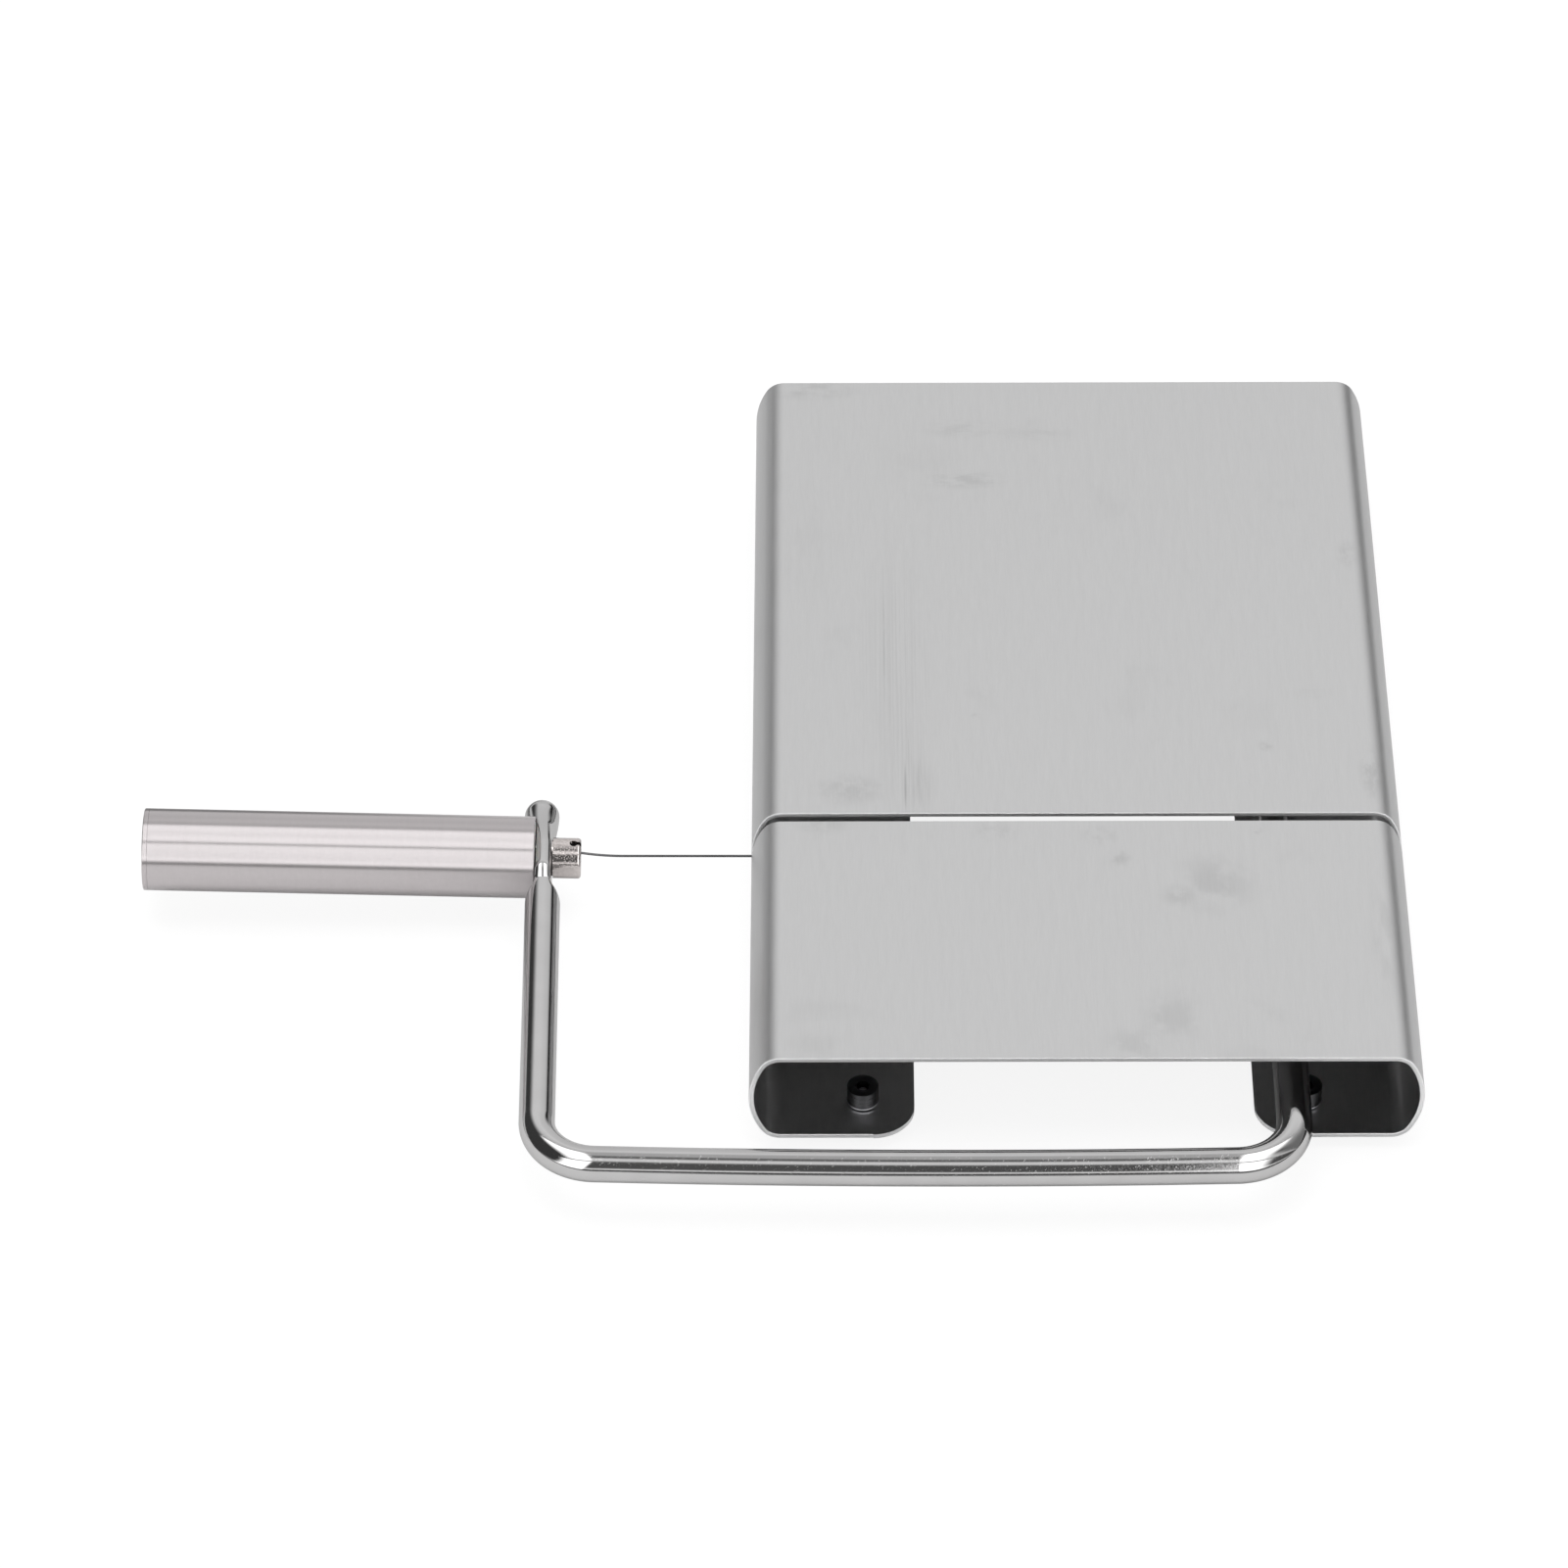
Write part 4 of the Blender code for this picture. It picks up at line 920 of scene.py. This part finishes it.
def rubber_finish():
    """Moulded black rubber: matt, slightly uneven, with pale dust in its texture."""
    material, tree, shader = finish("black_rubber", 0.72, 0.0)
    pebble = noise(own_place(tree), Scale=2200.0, Detail=3.0)
    dust = placed(tree, handling_marks, Marks_per_metre=420.0, Coverage=0.55)["Mask"] * 0.35
    dusty = blended(dust, (0.028, 0.028, 0.030, 1), (0.110, 0.106, 0.100, 1))
    wire_up(shader, dusty, pebble.ranged(0.3, 0.7, 0.62, 0.82), pebble, 0.4, 0.00004)
    return material


nut_steel = foot_nut_finish()
rubber = rubber_finish()
screw_steel = plain_steel_finish("zinc_plated_steel", (0.33, 0.33, 0.34), 0.30, (1500, 1500, 1500), 260)


def threading_rule():
    """Winds a screw thread of stated pitch round a shank that stands along Z."""
    tree, given = new_group("Wind a thread", "GeometryNodeTree", ("Geometry",), Geometry="Geometry",
                            Crest_radius=0.0019, Thread_depth=0.0003, Pitch=0.0007, Length=0.01,
                            Start=(0, 0, 0), Finish="Material")
    depth, length = given["Thread depth"], given["Length"]
    root = given["Crest radius"] - depth
    line = add(tree, "GeometryNodeCurveSpiral",
               {"Resolution": 20, "Rotations": length / given["Pitch"], "Start Radius": root,
                "End Radius": root, "Height": length})[0]
    ridge = add(tree, "GeometryNodeCurvePrimitiveCircle", {"Resolution": 4, "Radius": depth})[0]
    wound = add(tree, "GeometryNodeCurveToMesh",
                {"Curve": line, "Profile Curve": ridge, "Fill Caps": True})[0]
    moved = add(tree, "GeometryNodeTransform", {"Geometry": wound, "Translation": given["Start"]})[0]
    both = add(tree, "GeometryNodeJoinGeometry", {"Geometry": given["Geometry"]})[0]
    tree.links.new(moved.socket, both.socket.node.inputs[0])
    return shaped(tree, given, both)


wind_thread = threading_rule()


def threaded(radius, depth, pitch, start, length, material):
    """A thread wound round a shank from one height up."""
    return ("NODES", {"node_group": wind_thread, "Crest radius": radius, "Thread depth": depth,
                      "Pitch": pitch, "Length": length, "Start": Vector((0, 0, start)),
                      "Finish": material})


def marked(mesh, name, is_marked):
    """The mesh, with those of its faces marked that the test picks out."""
    marks = mesh.attributes.new(name, "FLOAT", "FACE")
    for face in mesh.polygons:
        marks.data[face.index].value = float(is_marked(face))
    return mesh


def nut_mesh():
    base = SHEET + SEAT_GAP
    rim_top, top = base + NUT_RIM_HEIGHT, base + NUT_HEIGHT
    profile = [(NUT_BORE_RADIUS, 0), (NUT_SPIGOT_RADIUS, 0), (NUT_SPIGOT_RADIUS, base),
               (NUT_RIM_RADIUS, base), (NUT_RIM_RADIUS, rim_top), (NUT_RADIUS, rim_top),
               (NUT_RADIUS, top), (NUT_BORE_RADIUS, top)]
    mesh = lathed("foot_nut", profile, 64, nut_steel, bevelled(0.00009))
    # The bore's faces, which the finish darkens with painted shade.
    return marked(mesh, "bore", lambda face: face.center.xy.length < NUT_BORE_RADIUS + BORE_EDGE)


def rubber_mesh():
    head_top = -FOOT_HEIGHT + SCREW_RECESS + SCREW_HEAD_HEIGHT + SEAT_GAP
    hole, recess = SCREW_SHANK_RADIUS + HOLE_GAP, SCREW_HEAD_RADIUS + SEAT_GAP
    low_radius = FOOT_RADIUS - FOOT_TAPER
    profile = [(hole, -SEAT_GAP), (hole, head_top), (recess, head_top), (recess, -FOOT_HEIGHT)]
    profile += arc((low_radius - FOOT_ROUND, -FOOT_HEIGHT + FOOT_ROUND), FOOT_ROUND, -math.pi / 2, 0, 6)
    profile += [(FOOT_RADIUS, -SEAT_GAP)]
    return lathed("rubber_foot", profile, 64, rubber, bevelled(0.00012))


def foot_screw_mesh():
    """Pan head with a cross recess, and a thread up to its point."""
    head_top = -FOOT_HEIGHT + SCREW_RECESS + SCREW_HEAD_HEIGHT
    floor = head_top - SCREW_HEAD_HEIGHT
    tip = SHEET + SEAT_GAP + NUT_HEIGHT - SCREW_SHORT_OF_TOP
    shank = SCREW_SHANK_RADIUS - SCREW_THREAD_DEPTH
    turns = [math.pi / 2 * step / 6 for step in range(6)]
    crown = [(SCREW_HEAD_RADIUS * math.cos(turn),
              floor + SCREW_HEAD_HEIGHT * CROWN_SHARE * (1 - math.sin(turn))) for turn in turns]
    profile = [(0, tip), (shank - SCREW_POINT, tip), (shank, tip - SCREW_POINT), (shank, head_top),
               (SCREW_HEAD_RADIUS, head_top)] + crown + [(0, floor)]
    x, y = CROSS_LENGTH / 2, CROSS_WIDTH / 2
    cross = [cut(solid([(-x, -y), (x, -y), (x, y), (-x, y)], CROSS_DEPTH + PAST_SURFACE),
                 Matrix.Translation((0, 0, floor - PAST_SURFACE)) @ Matrix.Rotation(turn, 4, "Z"))
             for turn in (0, math.pi / 2)]
    thread = threaded(SCREW_SHANK_RADIUS, SCREW_THREAD_DEPTH, SCREW_PITCH, head_top + SCREW_THREAD_START,
                      tip - head_top - SCREW_THREAD_SHORT, screw_steel)
    return lathed("foot_screw", profile, 48, screw_steel, *cross, thread)


feet = (("nut", nut_mesh(), "zinc_steel", "foot_nut"), ("pad", rubber_mesh(), "black_rubber", "rubber_foot"),
        ("screw", foot_screw_mesh(), "zinc_steel", "foot_screw"))
for where, y in (("front", FOOT_FROM_END), ("rear", BOARD_DEPTH - FOOT_FROM_END)):
    for side_name, side in (("left", -1), ("right", 1)):
        place = BOARD @ Matrix.Translation((side * (BOARD_WIDTH / 2 - FOOT_FROM_SIDE), y, 0))
        for kind, made, slot, packed in feet:
            mesh = made.copy()
            mesh.transform(place)
            keep(f"foot_{kind}_{where}_{side_name}", mesh, "board", slot, f"{packed}_{where}_{side_name}")


# The tension bolt
# A nickel-plated round-headed bolt through the pinched neck. Its head has a pocket from above for the
# wire's barrel and a slit out to its end face, and its thread runs into the handle's insert.

BOLT_HEAD_RADIUS = 0.00405
BOLT_HEAD_LENGTH = 0.0056
BOLT_HEAD_CHAMFER = 0.00065
BOLT_SHANK_LENGTH = 0.0240
BOLT_PITCH = 0.0007
BOLT_THREAD_DEPTH = 0.00032
BOLT_THREAD_INSET = 0.0006
BOLT_PLAIN_LENGTH = 0.0010
BOLT_TAIL_CHAMFER = 0.0003
BOLT_NECK_TAPER = 0.0002
POCKET_RADIUS = 0.00082
POCKET_DEPTH = 0.0061
POCKET_FROM_FACE = 0.0015
POCKET_BELOW_BARREL = 0.0002
WIRE_SLIT = 0.0009
SLIT_TOP = 0.006
SLIT_PAST_FACE = 0.002
# How far inside the head's rim and end face the painted shade starts.
SHADE_RIM_INSET = 0.00030
SHADE_FACE_INSET = 0.00010
WIRE_RISE = 0.0015
BARREL_HEIGHT = 0.0024
# Heights above the bolt's axis over which the painted shade fades out towards the head's top.
SHADE_FADE_START = 0.0031
SHADE_FADE_END = 0.0034
COLLAR_RADIUS = 0.0036
COLLAR_LENGTH = 0.00026
HEAD_START = NECK_THICKNESS / 2 + SEAT_GAP
HEAD_END = HEAD_START + BOLT_HEAD_LENGTH
POCKET_X = HEAD_END - POCKET_FROM_FACE


def nickel_finish():
    """Nickel plate: warm and bright, over a finely pebbled casting, with painted shade, darker and rougher,
    on the faces inside the head's rim.
    """
    material, tree, shader = finish("nickel_plate", 0.15, 1.0, Specular_Tint=(0.75, 0.75, 0.75, 1))
    place = own_place(tree)
    pebble = noise(place, Scale=2500.0, Detail=2.0, Roughness=0.6)
    axis_height = board_low.z + NECK.z
    # Painted shade: marked faces inside the head are darkened and roughened, fading out near its top.
    shade_below_top = split(place)["Z"].ranged(axis_height + SHADE_FADE_START, axis_height + SHADE_FADE_END, 1.0, 0.0)
    painted_shade = mark_on(tree, "painted_shade") * shade_below_top
    level = pebble.ranged(0.3, 0.7, 0.88, 1.08) * (1.0 - painted_shade * 0.85)
    rough = pebble.ranged(0.3, 0.7, 0.05, 0.11) + painted_shade * 0.3
    wire_up(shader, scaled((0.655, 0.605, 0.590), level), rough, pebble, 0.5, 0.00006)
    return material


nickel = nickel_finish()


def bolt_mesh():
    tail = HEAD_START - BOLT_SHANK_LENGTH
    core = BOLT_SHANK_RADIUS - BOLT_THREAD_DEPTH
    plain = -HANDLE_SEAT - BOLT_PLAIN_LENGTH
    collar = HEAD_START - COLLAR_LENGTH
    profile = [(0, tail), (core - BOLT_TAIL_CHAMFER, tail), (core, tail + BOLT_TAIL_CHAMFER),
               (core, plain - BOLT_NECK_TAPER), (BOLT_SHANK_RADIUS, plain), (BOLT_SHANK_RADIUS, collar),
               (COLLAR_RADIUS, collar), (COLLAR_RADIUS, HEAD_START), (BOLT_HEAD_RADIUS, HEAD_START)]
    profile += arc((BOLT_HEAD_RADIUS - BOLT_HEAD_CHAMFER, HEAD_END - BOLT_HEAD_CHAMFER), BOLT_HEAD_CHAMFER,
                   0, math.pi / 2, 8)
    profile += [(0, HEAD_END)]
    floor = WIRE_RISE - BARREL_HEIGHT / 2 - POCKET_BELOW_BARREL
    half = WIRE_SLIT / 2
    upright = along("X").inverted()
    pocket = drilled(POCKET_RADIUS, POCKET_DEPTH,
                     upright @ Matrix.Translation((POCKET_X, 0, floor + POCKET_DEPTH / 2)), 48)
    slit = solid([(-half, WIRE_RISE - half), (half, WIRE_RISE - half), (half, SLIT_TOP), (-half, SLIT_TOP)],
                 POCKET_FROM_FACE + SLIT_PAST_FACE)
    slit.transform(Matrix(((0, 0, 1, POCKET_X), (1, 0, 0, 0), (0, 1, 0, 0), (0, 0, 0, 1))))
    thread = threaded(BOLT_SHANK_RADIUS, BOLT_THREAD_DEPTH, BOLT_PITCH, tail + BOLT_THREAD_INSET,
                      plain - tail - 2 * BOLT_THREAD_INSET, nickel)
    mesh = lathed("tension_bolt", profile, 96, nickel, pocket, cut(slit, upright),
                  bevelled(0.00012, 2, 50), thread)

    # Faces inside the head's rim, in its pocket, slit and collar, which take painted shade.
    def is_in_painted_shade(face):
        deep = face.center.xy.length < BOLT_HEAD_RADIUS - SHADE_RIM_INSET and abs(face.normal.z) < 0.9
        return deep and face.center.z < HEAD_END - SHADE_FACE_INSET

    marked(mesh, "painted_shade", is_in_painted_shade).transform(TENSION @ along("X"))
    return mesh


keep("bolt", bolt_mesh(), "tension", "nickel_plate", "tension_bolt", sharp=30)


# The cutting wire
# Hard stainless wire, 0.5 mm thick. A small barrel on its left end drops into the bolt's pocket, it
# settles level over the board, and a crimped sleeve holds it behind the shaft's cross hole.

WIRE_RADIUS = 0.00025
WIRE_SETTLE = 0.0085
WIRE_REST_RISE = 0.0004
BARREL_RADIUS = 0.0007
SLEEVE_RADIUS = 0.0011
SLEEVE_LENGTH = 0.0030
WIRE_BORE = 0.00032


def wire_finish():
    """Drawn spring wire: bright grey with long drawing lines."""
    material, tree, shader = finish("drawn_wire", 0.26, 1.0)
    grain = placed(tree, brushed_grain, Lines_per_metre=(120, 5200, 5200))
    tone = scaled((0.125, 0.125, 0.128), grain["Tone"].ranged(0.3, 0.7, 0.70, 1.20))
    wire_up(shader, tone, grain["Tone"].ranged(0.3, 0.7, 0.20, 0.34), grain["Height"], 0.3, 0.00001)
    return material


wire_steel = wire_finish()


def wire_route():
    """Places along the wire, from the middle of the neck."""
    tilt = Matrix.Rotation(TENSION_TILT, 3, "Y")
    start = tilt @ Vector((POCKET_X - BARREL_RADIUS / 2, 0, WIRE_RISE))
    leave = tilt @ Vector((HEAD_END, 0, WIRE_RISE))
    anchor = PIVOT - NECK
    settle = Vector((leave.x + WIRE_SETTLE, 0, WIRE_REST_RISE))
    slope = (anchor.z - settle.z) / (anchor.x - settle.x)
    first_slope = 2 * (settle.z - leave.z) / WIRE_SETTLE - slope
    points = [start, leave]
    for step in range(1, 17):
        share = step / 16
        rise = WIRE_SETTLE * (first_slope * share + (slope - first_slope) * share * share / 2)
        points.append(Vector((leave.x + WIRE_SETTLE * share, 0, leave.z + rise)))
    end_x = anchor.x + ROD_RADIUS + 2 * SEAT_GAP + SLEEVE_LENGTH
    points += [anchor, Vector((end_x, 0, anchor.z + slope * (end_x - anchor.x)))]
    return points


wire_points = wire_route()
wire_path = poly_curve("wire_path", [(place, WIRE_RADIUS) for place in wire_points])
wire_mesh = worked("cutting_wire", bpy.data.meshes.new("wire_start"),
                   ("NODES", {"node_group": draw_rod, "Path": wire_path, "Sides": 16, "Radius": WIRE_RADIUS,
                              "Neck centre": Vector((0, 1, 0)), "Finish": wire_steel}))
wire_mesh.transform(BOARD @ Matrix.Translation(NECK))
keep("wire", wire_mesh, "tension", "polished_stainless", "cutting_wire")

half_barrel = BARREL_HEIGHT / 2
post = [(0, -half_barrel), (BARREL_RADIUS, -half_barrel), (BARREL_RADIUS, half_barrel), (0, half_barrel)]
barrel_mesh = lathed("wire_barrel", post, 32, wire_steel,
                     drilled(WIRE_BORE, 4 * BARREL_RADIUS, along("X"), 24), bevelled(0.00010))
barrel_mesh.transform(TENSION @ Matrix.Translation((POCKET_X, 0, WIRE_RISE)))
keep("wire_barrel", barrel_mesh, "tension", "polished_stainless", "wire_barrel_end")

anchor, last = wire_points[-2:]
lean = math.atan2(anchor.z - last.z, last.x - anchor.x)
sleeve_start = ROD_RADIUS + SEAT_GAP
sleeve = [(WIRE_BORE, sleeve_start), (WIRE_BORE, sleeve_start + SLEEVE_LENGTH)]
for share, radius in ((1, 1.0), (0.74, 1.0), (0.66, 0.90), (0.34, 0.90), (0.26, 1.0), (0, 1.0)):
    sleeve.append((SLEEVE_RADIUS * radius, sleeve_start + SLEEVE_LENGTH * share))
sleeve_mesh = lathed("wire_sleeve", sleeve, 32, wire_steel, bevelled(0.00010, 2, 60))
sleeve_mesh.transform(BOARD @ Matrix.Translation(NECK + anchor) @ Matrix.Rotation(lean, 4, "Y") @ along("X"))
keep("wire_sleeve", sleeve_mesh, "tension", "polished_stainless", "wire_stop_sleeve")


# The handle
# A thin satin stainless tube turned on a lathe. A threaded nylon insert in its right end draws the
# bolt, and a stainless cap with a spigot closes its left end.

HANDLE_LENGTH = 0.0780
HANDLE_WALL = 0.0008
HANDLE_EDGE = 0.0002
CAP_SEAM = 0.00002
END_CAP_THICKNESS = 0.0010
END_CAP_SPIGOT = 0.0040
END_CAP_SPIGOT_WALL = 0.0012
INSERT_LENGTH = 0.0150


def satin_finish():
    """Satin stainless, turned: fine rings round the tube spread a highlight along it and keep it crisp."""
    material, tree, shader = finish("satin_stainless_handle", 0.32, 1.0, Anisotropic=0.96,
                                    Anisotropic_Rotation=0.25)
    grain = placed(tree, brushed_grain, Lines_per_metre=(3400, 260, 260))
    pebble = noise(own_place(tree), Scale=1100.0, Detail=4.0)
    level = grain["Tone"].ranged(0.3, 0.7, 0.975, 1.01) + pebble.ranged(0.3, 0.7, -0.02, 0.02)
    wire_up(shader, scaled((0.566, 0.534, 0.540), level), pebble.ranged(0.3, 0.7, 0.30, 0.34), pebble,
            0.08, 0.00001, "X")
    return material


satin = satin_finish()
handle_right = -(HANDLE_SEAT + SEAT_GAP)
handle_left = handle_right - HANDLE_LENGTH
handle_bore = HANDLE_RADIUS - HANDLE_WALL
spigot = handle_bore - RUNNING_GAP
hollow = spigot - END_CAP_SPIGOT_WALL
cap_inside = handle_left + END_CAP_THICKNESS
cap_edge = HANDLE_RADIUS - HANDLE_EDGE
insert_bore = BOLT_SHANK_RADIUS + RUNNING_GAP
insert_end = handle_right - INSERT_LENGTH

tube = [(handle_bore, cap_inside + CAP_SEAM), (HANDLE_RADIUS, cap_inside + CAP_SEAM)]
tube += arc((cap_edge, handle_right - HANDLE_EDGE), HANDLE_EDGE, 0, math.pi / 2, 4)
tube += [(handle_bore, handle_right)]
cap = [(0, handle_left)] + arc((cap_edge, handle_left + HANDLE_EDGE), HANDLE_EDGE, -math.pi / 2, 0, 4)
cap += [(HANDLE_RADIUS, cap_inside), (spigot, cap_inside), (spigot, cap_inside + END_CAP_SPIGOT),
        (hollow, cap_inside + END_CAP_SPIGOT), (hollow, cap_inside), (0, cap_inside)]
insert = [(insert_bore, handle_right), (insert_bore, insert_end), (spigot, insert_end),
          (spigot, handle_right)]
for name, profile, sides, material, rounding, slot, packed in (
        ("handle", tube, 128, satin, 2 * CAP_SEAM, "satin_stainless", "handle_tube"),
        ("handle_cap", cap, 128, satin, 2 * CAP_SEAM, "satin_stainless", "handle_end_cap"),
        ("handle_insert", insert, 96, nylon, 0.0002, "white_nylon", "handle_thread_insert")):
    mesh = lathed(name, profile, sides, material, bevelled(rounding), place=TENSION @ along("X"))
    keep(name, mesh, "handle", slot, packed)


# The studio
# A plain pale table, a white surround and a soft lamp overhead. The surround is what the metal
# mirrors: white walls and table, with the darker gaps between them that a photographer's tent leaves.

CAMERA_TARGET = (-0.058605, 0.092446, 0.010)
CAMERA_ELEVATION = math.radians(41.306)
CAMERA_YAW = math.radians(-0.557)
CAMERA_ROLL = math.radians(-0.487)
CAMERA_DISTANCE = 1.39003
CAMERA_LENS = 157.55
SIDE_CARDS_MIDDLE = 0.085
SIDE_CARDS_EDGE = (0.105, 0.190)
SIDE_CARDS_FRONT = (-0.01, 0.05)
FRONT_CARD_EDGE = (-0.270, -0.205)
FRONT_CARD_SIDE = (-0.055, -0.015)
SURROUND_LIGHT = 0.95
FRONT_LAMP_START = 120.0
FRONT_LAMP_LEAN = 0.0042
LEFT_WALL_TURN = (112.0, 150.0)
LEFT_WALL_LEAN = 0.22
PANEL_LIMITS = [side + soft for side in ("Left", "Right", "Low", "High") for soft in ("", "_softness")]


def grey(level):
    return (level, level, level, 1)


def studio_rays(tree):
    """What metal or glass mirrors, and what the camera sees straight: 1 for such light, 0 for other light."""
    path = add(tree, "ShaderNodeLightPath")
    return strongest(path["Is Glossy Ray"], path["Is Transmission Ray"]), path["Is Camera Ray"]


def studio_floor():
    """White table. Its own white shows to the camera and in metal, and keeps the object's shadow. In metal
    it is darker beyond the board's two sides and well ahead of the bow, as if dark cards lay there."""
    table = bpy.data.meshes.new("table")
    table.from_pydata([(-1.5, -0.6, 0), (1.5, -0.6, 0), (1.5, 1.5, 0), (-1.5, 1.5, 0)], [], [(0, 1, 2, 3)])
    material, tree, shader = finish("white_table", 0.9, 0.0, Specular_IOR_Level=0.0)
    mirrored, straight = studio_rays(tree)
    place = split(own_place(tree))
    beside = maths("ABSOLUTE", place["X"] - SIDE_CARDS_MIDDLE).eased(*SIDE_CARDS_EDGE)
    beside = beside * place["Y"].eased(*SIDE_CARDS_FRONT)
    ahead = place["Y"].eased(*FRONT_CARD_EDGE, 1.0, 0.0) * place["X"].eased(*FRONT_CARD_SIDE)
    white = blended(mirrored, grey(0.94), blended(strongest(beside, ahead), grey(0.66), grey(0.18)))
    tree.links.new(white.socket, shader.inputs["Base Color"])
    glow = add(tree, "ShaderNodeEmission", {"Color": grey(1), "Strength": mirrored.ranged(0, 1, 1.0, 0.3)})[0]
    share = straight * 0.88 + mirrored * 0.08
    both = add(tree, "ShaderNodeMixShader", {0: share, 1: Value(shader.outputs[0]), 2: glow})[0]
    tree.links.new(both.socket, tree.nodes["Material Output"].inputs["Surface"])
    table.materials.append(material)
    put("floor", table)


def brightness_ramp(angle, *stops):
    """Brightness by angle round the X axis: 0 is the rear horizon, 90 overhead, 180 the front one."""
    seen = add(angle.tree, "ShaderNodeValToRGB", {"Fac": angle.ranged(-180.0, 180.0)})["Color"]
    ramp = seen.socket.node.color_ramp
    while len(ramp.elements) > 1:
        ramp.elements.remove(ramp.elements[-1])
    for number, (degrees, level) in enumerate(stops):
        place = (degrees + 180) / 360
        element = ramp.elements[0] if number == 0 else ramp.elements.new(place)
        element.position = place
        element.color = grey(level)
    return seen


def panel_group():
    """One card or soft box of the tent, as a mask over directions: across it and round the X axis."""
    group, given = new_group("Studio panel", "ShaderNodeTree", ("Mask",), Across=0.0, Round=0.0,
                             **dict.fromkeys(PANEL_LIMITS, 0.0))

    def edge(value, limit, into):
        softness = given[limit + " softness"]
        return given[value].eased(given[limit] - softness, given[limit] + softness, 1.0 - into, into)

    across = edge("Across", "Left", 1.0) * edge("Across", "Right", 0.0)
    return give(group, Mask=across * edge("Round", "Low", 1.0) * edge("Round", "High", 0.0))


def surround():
    world = bpy.data.worlds.new("studio")
    bpy.context.scene.world = world
    world.use_nodes = True
    tree = world.node_tree
    direction = split(add(tree, "ShaderNodeTexCoord")["Generated"])
    x = direction["X"]
    angle = maths("ARCTAN2", direction["Z"], direction["Y"]) * (180 / math.pi)
    seen = brightness_ramp(
        angle, (-180, 0.15), (-176, 0.30), (-90, 0.90), (-10, 0.86), (10, 0.82), (30, 0.84), (38, 0.89),
        (44, 1.00), (50, 0.92), (56, 0.78), (60, 0.62), (75, 0.62), (84, 0.30), (90, 0.10), (95, 0.38),
        (102, 0.98), (112, 1.00), (117, 0.60), (121, 0.18), (128, 0.12), (158, 0.12), (163, 0.55),
        (166, 1.15), (169.8, 1.15), (171.6, 0.15), (180, 0.10))
    panel = panel_group()
    leaning = x + strongest(angle - FRONT_LAMP_START, 0.0) * FRONT_LAMP_LEAN
    from_left = x + angle.ranged(*LEFT_WALL_TURN) * LEFT_WALL_LEAN
    for across, level, *limits in (
            (from_left, 0.06, -3.0, 0.1, -0.40, 0.16, 12.0, 5.0, 168.0, 6.0),
            (x, 0.25, 0.68, 0.22, 3.0, 0.1, -8.0, 6.0, 108.0, 8.0),
            (x, 0.02, 0.42, 0.12, 3.0, 0.1, -8.0, 3.0, 23.0, 5.0),
            (x, 2.40, -0.47, 0.11, -0.10, 0.02, 62.5, 2.0, 114.0, 1.0),
            (leaning, 2.40, -0.60, 0.08, -0.10, 0.03, 120.0, 1.0, 174.0, 3.0),
            (x, 2.40, 0.10, 0.02, 0.50, 0.12, 62.5, 2.0, 114.0, 1.0),
            (x, 2.40, 0.10, 0.02, 0.62, 0.14, 120.0, 1.0, 174.0, 3.0)):
        card = placed(tree, panel, Across=across, Round=angle, **dict(zip(PANEL_LIMITS, limits)))["Mask"]
        seen = blended(card, seen, grey(level))
    mirrored, straight = studio_rays(tree)
    even_light = tree.nodes["Background"]
    even_light.inputs["Color"].default_value = grey(1)
    even_light.inputs["Strength"].default_value = SURROUND_LIGHT
    camera_white = add(tree, "ShaderNodeBackground", {"Color": grey(1), "Strength": 1.0})[0]
    patterned = add(tree, "ShaderNodeBackground", {"Color": seen, "Strength": 1.0})[0]
    lit = add(tree, "ShaderNodeMixShader", {0: straight, 1: Value(even_light.outputs[0]), 2: camera_white})[0]
    choice = add(tree, "ShaderNodeMixShader", {0: mirrored, 1: lit, 2: patterned})[0]
    tree.links.new(choice.socket, tree.nodes["World Output"].inputs["Surface"])


def soft_lamp():
    light = bpy.data.lights.new("overhead_lamp", "AREA")
    light.shape = "RECTANGLE"
    light.size, light.size_y = 1.2, 0.9
    light.energy = 14.0
    lamp = put("overhead_lamp", light)
    lamp.location = (0.0, -0.1, 1.4)
    lamp.visible_glossy = False
    lamp.visible_camera = False


def studio_camera():
    """The camera stands where the photograph was taken from, found from the board's edges."""
    forward = Vector((math.sin(CAMERA_YAW) * math.cos(CAMERA_ELEVATION),
                      math.cos(CAMERA_YAW) * math.cos(CAMERA_ELEVATION), -math.sin(CAMERA_ELEVATION)))
    level = Vector((math.cos(CAMERA_YAW), -math.sin(CAMERA_YAW), 0))
    upward = level.cross(forward)
    right = level * math.cos(CAMERA_ROLL) + upward * math.sin(CAMERA_ROLL)
    upward = upward * math.cos(CAMERA_ROLL) - level * math.sin(CAMERA_ROLL)
    data = bpy.data.cameras.new("camera")
    data.lens = CAMERA_LENS
    data.sensor_width = 36.0
    data.clip_start = 0.1
    data.clip_end = 20.0
    camera = put("camera", data)
    place = BOARD @ Vector(CAMERA_TARGET) - forward * CAMERA_DISTANCE
    turn = Matrix((right, upward, -forward)).transposed().to_4x4()
    camera.matrix_world = Matrix.Translation(place) @ turn
    bpy.context.scene.camera = camera


studio_floor()
surround()
soft_lamp()
studio_camera()
bpy.context.scene.view_settings.view_transform = "Standard"
